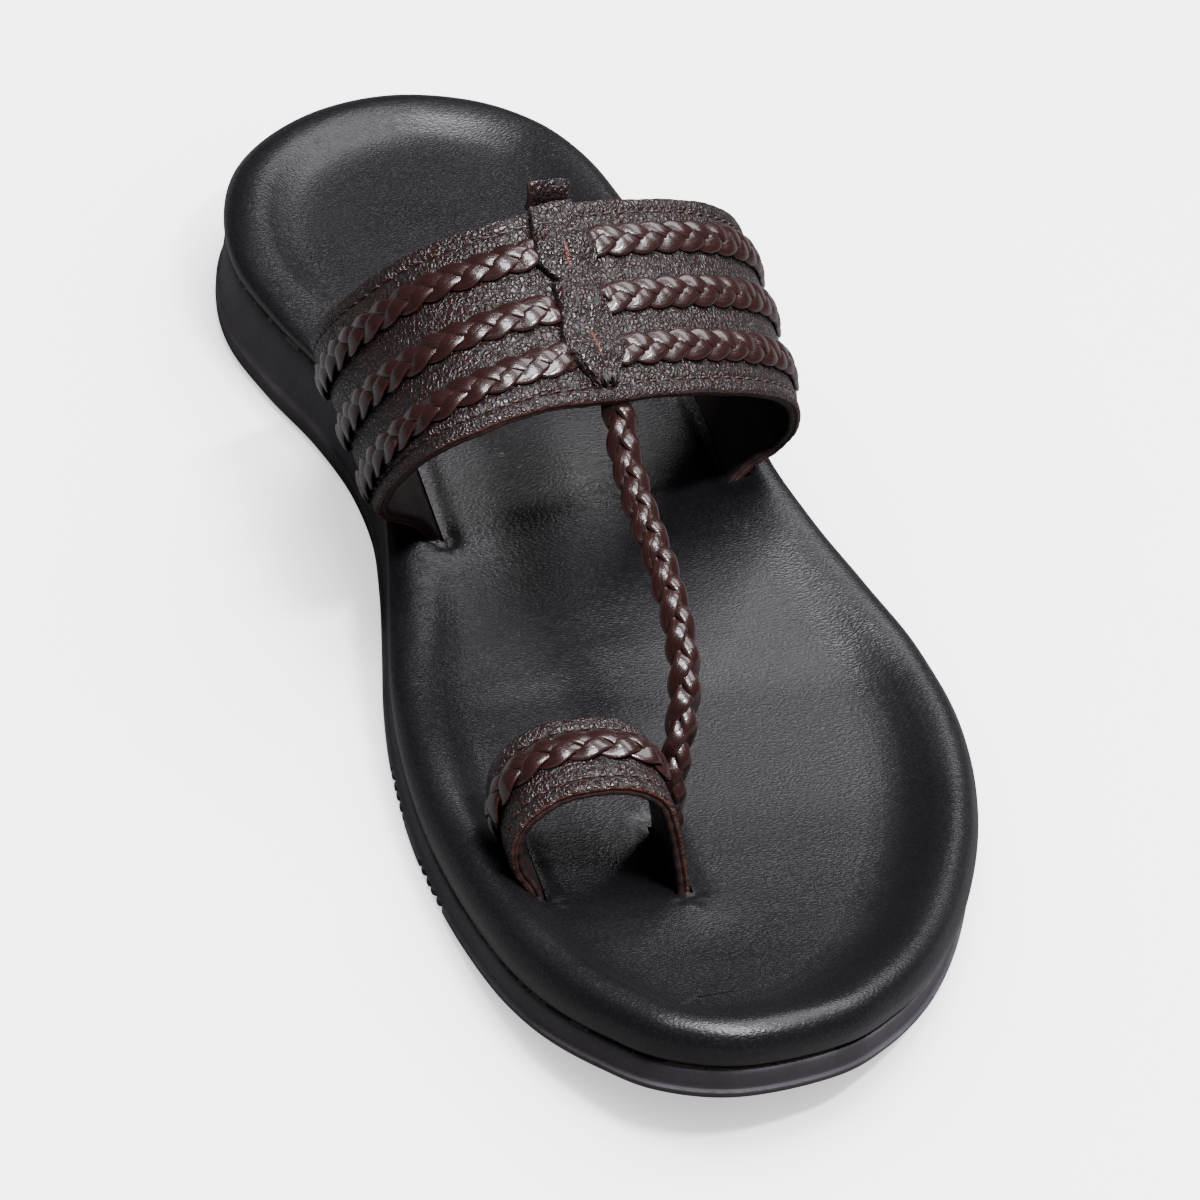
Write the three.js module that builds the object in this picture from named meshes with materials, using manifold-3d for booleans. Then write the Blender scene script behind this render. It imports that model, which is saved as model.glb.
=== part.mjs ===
// A flat leather toe-loop sandal, left shoe, standing on its sole.
// Toe towards -Y, outer side towards +X, up +Z, all in millimetres.
import * as THREE from 'three';
import { mergeVertices } from 'three/addons/utils/BufferGeometryUtils.js';
import Module from 'manifold-3d';

const wasm = await Module();
wasm.setup();

// Driving sizes
const CENTRING = -0.595;           // brings the middle of the shoe's width onto the origin
const GAP = 0.3;                  // between pieces that touch
const STRAP_WALL = 2.6;           // leather and its lining
const SLOT_CLEARANCE = 0.35;      // round a strap end in the footbed
const BRAID_WIDTH = 5.8;
const BRAID_HEIGHT = 2.3;
const SPINE_THICKNESS = 2.5;
const CORD_WIDTH = 5.8;
const CORD_HEIGHT = 4.4;
const CORD_SIDES = 10;
const FOOTBED_THICKNESS = 3.0;    // over the seam, in the middle of the dish
const SEAM_GAP = GAP / 2;         // each side of the seam plane
const GROOVE = { width: 2.2, depth: 1.6, pitch: 8.2, cutLength: 130 };
const GROOVE_RUNS = [{ from: 118, to: 62 }, { from: -14, to: -104 }];   // heel, forefoot
const ARCH = { rise: 2.2, middle: 24, length: 34 };   // of the dish, under the arch of the foot
const VAMP_WIDTH = { atSlots: 46, atBraids: 42 };
const SLOT_ROWS = { pastVamp: 0.7, pastLoop: 0.8, inside: 2.4 };  // how far the slot cutters reach
const BRAID_FLANK = 0.35;         // share of its height that a braid keeps at its sides
const TOE_BRAID = { from: 2.2, to: 8.3, across: 0.44 };
const PATCH_TAPER = 0.12;         // how much shorter a spine patch is at its sides
const EAR = { width: 8.4, narrowing: 0.12, sink: 0.6, rise: 5.0, slant: 1.4, thick: 1.6 };
const EAR_LEAN = { clear: 2.75, back: 1.2, curl: 2.4 };
const SLIVER = 0.02;              // triangles thinner than this are merged after a cut
const STEPS_PER_ROW = 2;          // outline samples between two rows of the table
const FILL_COLUMNS = 6;           // strips between the two sides of the sole

// Sole outline at the seam, one row per section from heel to toe
const HEEL_TIP = new THREE.Vector2(-9.5, 137.2);
const TOE_TIP = new THREE.Vector2(-13.5, -137.2);
const OUTLINE = [
  { y: 133.9, inner: -24.5, outer: 6.2 },
  { y: 126.0, inner: -37.0, outer: 16.8 },
  { y: 115.0, inner: -46.2, outer: 23.2 },
  { y: 101.5, inner: -51.0, outer: 26.8 },
  { y: 86.0, inner: -51.9, outer: 29.2 },
  { y: 70.0, inner: -47.8, outer: 31.8 },
  { y: 54.0, inner: -41.8, outer: 33.6 },
  { y: 38.0, inner: -38.4, outer: 34.2 },
  { y: 22.0, inner: -38.0, outer: 35.4 },
  { y: 6.0, inner: -40.0, outer: 39.6 },
  { y: -10.0, inner: -43.0, outer: 45.4 },
  { y: -26.0, inner: -46.0, outer: 50.9 },
  { y: -42.0, inner: -47.9, outer: 53.2 },
  { y: -58.0, inner: -48.4, outer: 52.2 },
  { y: -74.0, inner: -47.5, outer: 48.4 },
  { y: -89.0, inner: -45.6, outer: 42.6 },
  { y: -103.0, inner: -42.8, outer: 35.4 },
  { y: -115.0, inner: -38.6, outer: 27.2 },
  { y: -125.0, inner: -32.4, outer: 17.6 },
  { y: -132.8, inner: -25.6, outer: 6.6 },
];

// Heights along the sole: its underside, the seam above it, and how far the rim stands over the dish
const SOLE_HEIGHTS = [
  { y: 138, under: 1.4, seam: 17.0, rim: 3.2 },
  { y: 124, under: 0.0, seam: 17.0, rim: 3.2 },
  { y: 90, under: 0.0, seam: 17.0, rim: 2.6 },
  { y: 58, under: 0.0, seam: 17.0, rim: 1.0 },
  { y: 36, under: 0.8, seam: 16.5, rim: 1.0 },
  { y: 15, under: 2.4, seam: 14.5, rim: 1.0 },
  { y: -3, under: 2.2, seam: 11.8, rim: 1.6 },
  { y: -21, under: 0.6, seam: 9.1, rim: 2.6 },
  { y: -36, under: 0.0, seam: 7.4, rim: 3.4 },
  { y: -62, under: 0.0, seam: 6.8, rim: 4.4 },
  { y: -80, under: 0.9, seam: 7.7, rim: 5.0 },
  { y: -100, under: 3.1, seam: 9.9, rim: 5.4 },
  { y: -120, under: 7.0, seam: 13.7, rim: 5.6 },
  { y: -138, under: 11.4, seam: 18.0, rim: 5.6 },
];

// Outsole wall from the seam down, as inset from the outline and share of the wall's height
const OUTSOLE_WALL = [
  { inset: 0.9, share: 1.0 },
  { inset: 0.2, share: 0.88 },
  { inset: 0.1, share: 0.42 },
  { inset: -0.6, share: 0.26 },
  { inset: -0.5, share: 0.08 },
  { inset: 0.5, share: 0.0 },
];

// Footbed from the seam up and in over its rim: share of the floor's height, then of the rim's
const FOOTBED_RINGS = [
  { inset: 0.9, floor: 0.0, rim: 0.0 },
  { inset: -0.3, floor: 0.35, rim: 0.05 },
  { inset: -0.6, floor: 0.7, rim: 0.3 },
  { inset: 0.4, floor: 0.9, rim: 0.66 },
  { inset: 2.4, floor: 1.0, rim: 0.93 },
  { inset: 4.8, floor: 1.0, rim: 1.0 },
  { inset: 7.0, floor: 1.0, rim: 0.85 },
  { inset: 9.4, floor: 1.0, rim: 0.48 },
  { inset: 11.8, floor: 1.0, rim: 0.16 },
  { inset: 14.4, floor: 1.0, rim: 0.0 },
];

// Outer face of the vamp strap along its two edges, one row per fold from the inner slot, up
// over the instep and down to the outer slot
const VAMP_REAR_EDGE = [
  { x: -33.0, y: 51.7, z: 17.9 },
  { x: -37.0, y: 50.7, z: 23.3 },
  { x: -44.5, y: 46.7, z: 29.2 },
  { x: -49.9, y: 39.6, z: 36.2 },
  { x: -50.7, y: 32.8, z: 46.6 },
  { x: -46.9, y: 27.3, z: 57.5 },
  { x: -38.9, y: 23.8, z: 67.5 },
  { x: -25.7, y: 21.8, z: 74.9 },
  { x: -12.3, y: 23.9, z: 77.0 },
  { x: 0.5, y: 26.8, z: 75.7 },
  { x: 12.0, y: 30.3, z: 72.8 },
  { x: 22.3, y: 35.2, z: 66.9 },
  { x: 30.1, y: 42.9, z: 56.4 },
  { x: 34.5, y: 52.1, z: 41.2 },
  { x: 34.0, y: 55.7, z: 30.2 },
  { x: 30.0, y: 57.9, z: 23.6 },
  { x: 26.5, y: 58.7, z: 17.9 },
];
const VAMP_FRONT_EDGE = [
  { x: -32.0, y: 5.7, z: 14.1 },
  { x: -36.1, y: 5.3, z: 19.4 },
  { x: -43.0, y: 1.7, z: 24.3 },
  { x: -46.7, y: -4.4, z: 32.7 },
  { x: -46.4, y: -11.7, z: 44.6 },
  { x: -41.3, y: -17.2, z: 56.0 },
  { x: -32.9, y: -18.7, z: 61.8 },
  { x: -21.2, y: -16.1, z: 63.1 },
  { x: -9.3, y: -12.8, z: 61.4 },
  { x: 3.5, y: -9.2, z: 59.4 },
  { x: 16.0, y: -4.0, z: 55.2 },
  { x: 27.0, y: 2.3, z: 48.7 },
  { x: 34.6, y: 9.4, z: 40.3 },
  { x: 37.5, y: 14.6, z: 30.1 },
  { x: 36.0, y: 17.4, z: 23.6 },
  { x: 31.6, y: 17.4, z: 20.0 },
  { x: 28.0, y: 16.7, z: 15.5 },
];
const SPINE_ROW = 7.88;           // where the middle of the vamp lies, by row of both edges

// Middle of the toe loop's outer face, from its inner leg over the toe to the post
const LOOP_EDGES = { front: -86.0, rear: -67.6 };
const LOOP_WIDTH = LOOP_EDGES.rear - LOOP_EDGES.front;
const LOOP = [
  { x: -34.6, z: 8.3 },
  { x: -36.0, z: 12.4 },
  { x: -39.2, z: 17.4 },
  { x: -40.5, z: 23.7 },
  { x: -38.5, z: 30.2 },
  { x: -33.0, z: 34.7 },
  { x: -25.5, z: 36.2 },
  { x: -18.0, z: 35.2 },
  { x: -13.3, z: 31.7 },
  { x: -10.5, z: 25.2 },
  { x: -8.3, z: 17.7 },
  { x: -6.9, z: 12.0 },
  { x: -6.5, z: 8.3 },
];

// Middle of the cord, from under the vamp's front edge to the toe post
const CORD = [
  { x: -9.0, y: -4.1, z: 60.8 },
  { x: -7.2, y: -10.8, z: 57.6 },
  { x: -7.2, y: -19.0, z: 53.5 },
  { x: -6.8, y: -30.1, z: 50.7 },
  { x: -5.8, y: -42.6, z: 47.6 },
  { x: -5.2, y: -54.7, z: 43.4 },
  { x: -6.0, y: -64.4, z: 37.4 },
  { x: -7.9, y: -70.8, z: 30.6 },
  { x: -9.6, y: -74.8, z: 23.2 },
];

// Three rows of braid, placed across the strap from 0 at its rear edge to 1 at its front edge
const BRAIDS = [
  { name: 'rear', inner: 0.25, spine: 0.22, outer: 0.19 },
  { name: 'mid', inner: 0.565, spine: 0.51, outer: 0.46 },
  { name: 'front', inner: 0.87, spine: 0.77, outer: 0.78 },
];
const BRAID_ENDS = { inner: 2.6, outer: 13.6 };       // rows of the vamp's edges
const ROW_SPACING = 14;                               // millimetres between rows at the spine
const SPINE_HALF_ROWS = 0.34;                         // half the spine's width, in rows

// A height from the table, smooth between its rows and never past them
function heightAt(column, y) {
  const rows = SOLE_HEIGHTS;
  const last = rows.length - 1;
  let row = 0;
  while (row < last - 1 && y < rows[row + 1].y) row += 1;
  const span = rows[row].y - rows[row + 1].y;
  const share = THREE.MathUtils.clamp((rows[row].y - y) / span, 0, 1);
  const grade = (k) => (rows[k + 1][column] - rows[k][column]) / (rows[k].y - rows[k + 1].y);
  const slope = (k) => {
    const before = grade(Math.max(k - 1, 0));
    const after = grade(Math.min(k, last - 1));
    return before * after > 0 ? (2 * before * after) / (before + after) : 0;
  };
  const from = rows[row][column];
  const to = rows[row + 1][column];
  const s2 = share * share;
  const s3 = s2 * share;
  return from * (2 * s3 - 3 * s2 + 1) + slope(row) * span * (s3 - 2 * s2 + share)
    + to * (3 * s2 - 2 * s3) + slope(row + 1) * span * (s3 - s2);
}

// The outline as two sides with the same number of stations from the heel's tip to the toe's
function soleStations() {
  const flat = (x, y) => new THREE.Vector3(x, y, 0);
  const loop = [flat(HEEL_TIP.x, HEEL_TIP.y)];
  for (const row of OUTLINE) loop.push(flat(row.inner, row.y));
  loop.push(flat(TOE_TIP.x, TOE_TIP.y));
  for (const row of [...OUTLINE].reverse()) loop.push(flat(row.outer, row.y));
  const curve = new THREE.CatmullRomCurve3(loop, true, 'centripetal');
  const count = (OUTLINE.length + 1) * STEPS_PER_ROW;
  const sample = (share) => {
    const tangent = curve.getTangent(share);
    return { point: curve.getPoint(share), inward: flat(-tangent.y, tangent.x) };
  };
  const stations = [];
  for (let k = 0; k <= count; k += 1) {
    const share = k / (2 * count);
    stations.push({ inner: sample(share), outer: sample((1 - share) % 1) });
  }
  return stations;
}

const STATIONS = soleStations();

// One closed ring of the outline, moved in by an inset, at the height of the section that it is on
function soleRing(inset, height) {
  const place = (side) => {
    const p = side.point.clone().addScaledVector(side.inward, inset);
    p.z = height(p.y);
    return p;
  };
  const inner = STATIONS.map((station) => place(station.inner));
  const outer = STATIONS.slice(1, -1).map((station) => place(station.outer)).reverse();
  return [...inner, ...outer];
}

// A closed body from rings, filled across its first and last ring from side to side
function soleBody(rings, bottomHeight, topHeight) {
  const positions = [];
  const index = [];
  const size = rings[0].length;
  const tip = STATIONS.length - 1;
  const add = (p) => positions.push(p.x, p.y, p.z) / 3 - 1;
  const ids = rings.map((ring) => ring.map(add));
  for (let r = 0; r + 1 < rings.length; r += 1) {
    for (let k = 0; k < size; k += 1) {
      const next = (k + 1) % size;
      index.push(ids[r][k], ids[r][next], ids[r + 1][next]);
      index.push(ids[r][k], ids[r + 1][next], ids[r + 1][k]);
    }
  }
  const fill = (ring, ringIds, height, facesUp) => {
    const strips = [];
    for (let k = 0; k <= tip; k += 1) {
      const far = (size - k) % size;
      const strip = [ringIds[k]];
      for (let c = 1; c < FILL_COLUMNS; c += 1) {
        const p = ring[k].clone().lerp(ring[far], c / FILL_COLUMNS);
        p.z = height(p.y, c / FILL_COLUMNS);
        strip.push(k === 0 || k === tip ? ringIds[k] : add(p));
      }
      strips.push([...strip, ringIds[far]]);
    }
    for (let k = 0; k < tip; k += 1) {
      for (let c = 0; c < FILL_COLUMNS; c += 1) {
        const quad = [strips[k][c], strips[k][c + 1], strips[k + 1][c + 1], strips[k + 1][c]];
        if (!facesUp) quad.reverse();
        index.push(quad[0], quad[2], quad[1], quad[0], quad[3], quad[2]);
      }
    }
  };
  fill(rings[0], ids[0], bottomHeight, false);
  fill(rings[rings.length - 1], ids[rings.length - 1], topHeight, true);
  return closedGeometry(positions, index);
}

// Indexed geometry without flat triangles, turned to face out
function closedGeometry(positions, index) {
  let geometry = new THREE.BufferGeometry();
  geometry.setAttribute('position', new THREE.Float32BufferAttribute(positions, 3));
  geometry.setIndex(index);
  geometry = mergeVertices(geometry, 1e-3);
  const ids = geometry.index.array;
  const kept = [];
  for (let k = 0; k < ids.length; k += 3) {
    const [a, b, c] = [ids[k], ids[k + 1], ids[k + 2]];
    if (a !== b && b !== c && c !== a) kept.push(a, b, c);
  }
  if (signedVolume(geometry.attributes.position, kept) < 0) kept.reverse();
  geometry.setIndex(kept);
  return geometry;
}

function signedVolume(position, ids) {
  const corner = [new THREE.Vector3(), new THREE.Vector3(), new THREE.Vector3()];
  let sum = 0;
  for (let k = 0; k < ids.length; k += 3) {
    corner.forEach((p, side) => p.fromBufferAttribute(position, ids[k + side]));
    sum += corner[0].dot(corner[1].cross(corner[2])) / 6;
  }
  return sum;
}

function toManifold(geometry) {
  const merged = mergeVertices(new THREE.BufferGeometry()
    .setAttribute('position', geometry.attributes.position)
    .setIndex(geometry.index), 1e-4);
  return new wasm.Manifold(new wasm.Mesh({
    numProp: 3,
    vertProperties: new Float32Array(merged.attributes.position.array),
    triVerts: new Uint32Array(merged.index.array),
  }));
}

function toGeometry(manifold) {
  const mesh = manifold.getMesh();
  const geometry = new THREE.BufferGeometry();
  geometry.setAttribute('position', new THREE.Float32BufferAttribute(mesh.vertProperties, 3));
  geometry.setIndex([...mesh.triVerts]);
  return geometry;
}

// Rubber outsole: outline, heel, waist, toe spring, and grooves across heel and forefoot
function outsoleGeometry() {
  const under = (y) => heightAt('under', y);
  const top = (y) => heightAt('seam', y) - SEAM_GAP;
  const rings = [...OUTSOLE_WALL].reverse().map(({ inset, share }) => (
    soleRing(inset, (y) => THREE.MathUtils.lerp(under(y), top(y), share))));
  let sole = toManifold(soleBody(rings, under, top));
  for (const { from, to } of GROOVE_RUNS) {
    for (let y = from; y >= to; y -= GROOVE.pitch) {
      const cutter = wasm.Manifold.cube([GROOVE.cutLength, GROOVE.width, GROOVE.depth * 2], true)
        .translate([0, y, under(y)]);
      sole = sole.subtract(cutter);
    }
  }
  return toGeometry(sole.simplify(SLIVER));
}

// Padded footbed: a puffy rim round a dished floor, raised under the arch, slit for the straps
function footbedGeometry() {
  const seam = (y) => heightAt('seam', y) + SEAM_GAP;
  const floor = (y) => seam(y) + FOOTBED_THICKNESS;
  const rings = FOOTBED_RINGS.map(({ inset, floor: floorShare, rim }) => soleRing(inset, (y) => (
    THREE.MathUtils.lerp(seam(y), floor(y), floorShare) + rim * heightAt('rim', y))));
  const archRise = (y, across) => {
    const along = Math.exp(-(((y - ARCH.middle) / ARCH.length) ** 2));
    return ARCH.rise * along * Math.sin(Math.PI * across) * (1 - across);
  };
  const dish = (y, across) => floor(y) + archRise(y, across);
  let footbed = toManifold(soleBody(rings, seam, dish));
  for (const cutter of [vampSlots(), loopSlots()]) footbed = footbed.subtract(cutter);
  return toGeometry(footbed.simplify(SLIVER));
}

// A smooth line through rows, by row number, carried straight on past its ends
function lineThrough(rows) {
  const points = rows.map(({ x, y = 0, z }) => new THREE.Vector3(x, y, z));
  const curve = new THREE.CatmullRomCurve3(points, false, 'centripetal');
  const last = rows.length - 1;
  return (row) => {
    const inside = THREE.MathUtils.clamp(row, 0, last);
    const past = row - inside;
    const p = curve.getPoint(inside / last);
    if (past === 0) return p;
    const step = row < 0 ? points[1].clone().sub(points[0]) : points[last].clone().sub(points[last - 1]);
    return p.addScaledVector(step, past);
  };
}

const rearEdge = lineThrough(VAMP_REAR_EDGE);
const frontEdge = lineThrough(VAMP_FRONT_EDGE);
const loopMiddle = lineThrough(LOOP);
const vampFace = (across, row) => rearEdge(row).lerp(frontEdge(row), across);
const loopFace = (across, row) => {
  const p = loopMiddle(row);
  p.y = THREE.MathUtils.lerp(LOOP_EDGES.rear, LOOP_EDGES.front, across);
  return p;
};

// A face moved out along its own normal
function lifted(face, across, row, lift) {
  const step = 0.01;
  const p = face(across, row);
  const alongRow = face(across, row + step).sub(face(across, row - step));
  const acrossRow = face(across + step, row).sub(face(across - step, row));
  return p.addScaledVector(acrossRow.cross(alongRow).normalize(), lift);
}

// A closed sheet between two lifts of a face; across and lift may change from row to row
function sheetGeometry(face, { rows, steps, columns, across, lift }) {
  const positions = [];
  const index = [];
  const width = columns + 1;
  for (const side of ['low', 'high']) {
    for (let k = 0; k <= steps; k += 1) {
      const row = THREE.MathUtils.lerp(rows[0], rows[1], k / steps);
      const [from, to] = across(row);
      for (let c = 0; c <= columns; c += 1) {
        const share = c / columns;
        const p = lifted(face, THREE.MathUtils.lerp(from, to, share), row, lift(share)[side]);
        positions.push(p.x, p.y, p.z);
      }
    }
  }
  const layer = width * (steps + 1);
  const quad = (a, b, c, d) => index.push(a, b, c, a, c, d);
  for (let k = 0; k < steps; k += 1) {
    for (let c = 0; c < columns; c += 1) {
      const a = k * width + c;
      quad(a, a + 1, a + 1 + width, a + width);
      quad(layer + a, layer + a + width, layer + a + 1 + width, layer + a + 1);
    }
    const left = k * width;
    const right = left + columns;
    quad(left, left + width, layer + left + width, layer + left);
    quad(right, layer + right, layer + right + width, right + width);
  }
  for (let c = 0; c < columns; c += 1) {
    const end = steps * width + c;
    quad(c, layer + c, layer + c + 1, c + 1);
    quad(end, end + 1, layer + end + 1, layer + end);
  }
  return closedGeometry(positions, index);
}

const VAMP_ROWS = [0, VAMP_FRONT_EDGE.length - 1];
const LOOP_ROWS = [0, LOOP.length - 1];
const wholeWidth = () => [0, 1];
const strapLift = () => ({ low: -STRAP_WALL, high: 0 });

function vampGeometry() {
  return sheetGeometry(vampFace, {
    rows: VAMP_ROWS, steps: 48, columns: 6, across: wholeWidth, lift: strapLift,
  });
}

function loopGeometry() {
  return sheetGeometry(loopFace, {
    rows: LOOP_ROWS, steps: 34, columns: 3, across: wholeWidth, lift: strapLift,
  });
}

// The strap ends, grown by the clearance and carried on down through the footbed
function slotCutter(face, rowCount, rowsPast, millimetresWide) {
  const rowsInside = SLOT_ROWS.inside;
  const grow = SLOT_CLEARANCE / millimetresWide;
  const end = (rows) => toManifold(sheetGeometry(face, {
    rows,
    steps: 8,
    columns: 3,
    across: () => [-grow, 1 + grow],
    lift: () => ({ low: -STRAP_WALL - SLOT_CLEARANCE, high: SLOT_CLEARANCE }),
  }));
  return end([-rowsPast, rowsInside]).add(end([rowCount - rowsInside, rowCount + rowsPast]));
}

function vampSlots() {
  return slotCutter(vampFace, VAMP_ROWS[1], SLOT_ROWS.pastVamp, VAMP_WIDTH.atSlots);
}

function loopSlots() {
  return slotCutter(loopFace, LOOP_ROWS[1], SLOT_ROWS.pastLoop, LOOP_WIDTH);
}

// The cord from the vamp to the toe post, flatter than it is wide
function cordGeometry() {
  const section = new THREE.Shape(Array.from({ length: CORD_SIDES }, (_, k) => {
    const angle = (2 * Math.PI * (k + 0.5)) / CORD_SIDES;
    return new THREE.Vector2(Math.cos(angle) * CORD_HEIGHT / 2, Math.sin(angle) * CORD_WIDTH / 2);
  }));
  const path = new THREE.CatmullRomCurve3(CORD.map(({ x, y, z }) => new THREE.Vector3(x, y, z)));
  return new THREE.ExtrudeGeometry(section, { steps: 30, extrudePath: path, bevelEnabled: false });
}

// Upper: vamp strap, cord and toe loop joined into one solid
function upperGeometry() {
  const tube = mergeVertices(new THREE.BufferGeometry()
    .setAttribute('position', cordGeometry().attributes.position), 1e-3);
  const cord = toManifold(closedGeometry([...tube.attributes.position.array], [...tube.index.array]));
  return toGeometry(toManifold(vampGeometry()).add(cord).add(toManifold(loopGeometry())));
}

// A rounded bar of braid lying on a strap's face
function braidGeometry(face, rows, middle, millimetresWide) {
  const half = BRAID_WIDTH / 2 / millimetresWide;
  return sheetGeometry(face, {
    rows,
    steps: 16,
    columns: 4,
    across: (row) => [middle(row) - half, middle(row) + half],
    lift: (share) => ({
      low: GAP,
      high: GAP + BRAID_HEIGHT * THREE.MathUtils.lerp(BRAID_FLANK, 1, Math.sin(Math.PI * share)),
    }),
  });
}

function vampBraid(braid, side) {
  const near = SPINE_HALF_ROWS + GAP / ROW_SPACING;
  const from = side === 'inner' ? BRAID_ENDS.inner : SPINE_ROW + near;
  const to = side === 'inner' ? SPINE_ROW - near : BRAID_ENDS.outer;
  const farRow = BRAID_ENDS[side];
  const middle = (row) => {
    const share = Math.abs(row - SPINE_ROW) / Math.abs(farRow - SPINE_ROW);
    return THREE.MathUtils.lerp(braid.spine, braid[side], share);
  };
  return braidGeometry(vampFace, [from, to], middle, VAMP_WIDTH.atBraids);
}

function toeBraid() {
  return braidGeometry(loopFace, [TOE_BRAID.from, TOE_BRAID.to], () => TOE_BRAID.across, LOOP_WIDTH);
}

// A patch down the middle of the vamp, cut to a point at its front end
function spineGeometry(acrossFrom, acrossTo) {
  const offMiddle = (row) => Math.abs(row - SPINE_ROW) / SPINE_HALF_ROWS;
  return sheetGeometry(vampFace, {
    rows: [SPINE_ROW - SPINE_HALF_ROWS, SPINE_ROW + SPINE_HALF_ROWS],
    steps: 6,
    columns: 8,
    across: (row) => [acrossFrom, acrossTo - PATCH_TAPER * offMiddle(row)],
    lift: () => ({ low: GAP, high: GAP + SPINE_THICKNESS }),
  });
}

// The curled stub at the rear edge: a small leaf that stands up and leans back
function earGeometry() {
  const middle = lifted(vampFace, 0, SPINE_ROW, GAP);
  const leaf = (across, row) => {
    const root = lifted(vampFace, 0, SPINE_ROW + (EAR.width * (across - 0.5)) / ROW_SPACING, GAP);
    return new THREE.Vector3(
      THREE.MathUtils.lerp(root.x, middle.x, EAR.narrowing * row),
      root.y + EAR_LEAN.clear - EAR_LEAN.back * row + EAR_LEAN.curl * row * row,
      root.z - EAR.sink + (EAR.rise - EAR.slant * across) * row,
    );
  };
  return sheetGeometry(leaf, {
    rows: [0, 1], steps: 6, columns: 4, across: wholeWidth, lift: () => ({ low: 0, high: EAR.thick }),
  });
}

const LOOKS = {
  rubber: { color: 0x2a2828, roughness: 0.75 },
  footbed: { color: 0x1b1a1d, roughness: 0.45 },
  strap: { color: 0x2e1c18, roughness: 0.4 },
  braid: { color: 0x47231e, roughness: 0.32 },
};

function mesh(name, geometry, look) {
  const piece = new THREE.Mesh(geometry, new THREE.MeshStandardMaterial({ ...LOOKS[look], metalness: 0 }));
  piece.name = name;
  return piece;
}

const sandal = new THREE.Group();
sandal.position.x = CENTRING;
sandal.add(mesh('outsole', outsoleGeometry(), 'rubber'));
sandal.add(mesh('footbed', footbedGeometry(), 'footbed'));
sandal.add(mesh('upper', upperGeometry(), 'strap'));
for (const braid of BRAIDS) {
  sandal.add(mesh(`braid_${braid.name}_inner`, vampBraid(braid, 'inner'), 'braid'));
  sandal.add(mesh(`braid_${braid.name}_outer`, vampBraid(braid, 'outer'), 'braid'));
}
sandal.add(mesh('braid_toe', toeBraid(), 'braid'));
sandal.add(mesh('spine_upper', spineGeometry(0.0, 0.4), 'strap'));
sandal.add(mesh('spine_lower', spineGeometry(0.42, 0.9), 'strap'));
sandal.add(mesh('ear_tab', earGeometry(), 'strap'));

export default sandal;
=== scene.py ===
import math

import bmesh
import bpy
import numpy as np
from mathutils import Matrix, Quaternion, Vector


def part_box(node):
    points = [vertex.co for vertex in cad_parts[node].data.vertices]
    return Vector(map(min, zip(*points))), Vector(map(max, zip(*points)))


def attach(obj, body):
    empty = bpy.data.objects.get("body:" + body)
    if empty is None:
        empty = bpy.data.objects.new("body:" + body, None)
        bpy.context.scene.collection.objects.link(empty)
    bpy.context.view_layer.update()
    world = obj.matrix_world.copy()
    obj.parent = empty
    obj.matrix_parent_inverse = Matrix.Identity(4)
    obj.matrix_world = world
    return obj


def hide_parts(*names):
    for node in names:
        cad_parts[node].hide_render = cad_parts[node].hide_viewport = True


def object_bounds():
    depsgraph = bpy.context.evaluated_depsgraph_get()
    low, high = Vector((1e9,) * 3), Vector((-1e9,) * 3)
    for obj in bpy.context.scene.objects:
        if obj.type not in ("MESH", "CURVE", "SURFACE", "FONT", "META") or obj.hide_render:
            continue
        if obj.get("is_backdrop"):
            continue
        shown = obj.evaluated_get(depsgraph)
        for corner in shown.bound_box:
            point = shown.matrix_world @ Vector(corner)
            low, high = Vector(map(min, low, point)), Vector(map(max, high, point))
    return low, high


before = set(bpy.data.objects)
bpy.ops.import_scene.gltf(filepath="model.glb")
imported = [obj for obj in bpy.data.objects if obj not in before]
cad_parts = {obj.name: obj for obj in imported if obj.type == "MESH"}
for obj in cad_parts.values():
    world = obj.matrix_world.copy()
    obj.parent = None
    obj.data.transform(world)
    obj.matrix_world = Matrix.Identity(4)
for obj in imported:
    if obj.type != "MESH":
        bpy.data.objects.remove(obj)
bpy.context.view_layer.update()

# ======== OUTSOLE ========
# A one-piece moulded rubber unit with a heel, a raised waist and a toe spring.
# Its wall has a thin lip low down and short teeth along the ball of the foot, and
# tread grooves across the underside stop short of its sides. It is glued to the footbed.

METRES = 0.001  # everything below is drawn in millimetres
SOLE_STEPS = 26  # sections between two rows of the outline
SOLE_TREAD_STRIPS = 26
SOLE_TOP_STRIPS = 4
OUTLINE_NUDGE = 0.01  # part of a row to each side, to find which way the outline runs
SEAM_GAP = 0.15  # each side of the seam, between rubber and footbed
TREAD_GROOVE = {"width": 2.2, "depth": 1.6, "pitch": 8.2, "bevel": 0.35, "margin": 0.06}
TREAD_RUNS = ((118.0, 60.0), (-14.0, -106.0))  # heel, then forefoot
TOOTH = {"pitch": 2.8, "depth": 0.9, "reach": 0.3, "fade": 0.04, "steepness": 1.6, "end": 0.5}
TOOTH_RUNS = ((-39.0, -53.0), (-63.0, -77.0))

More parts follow.
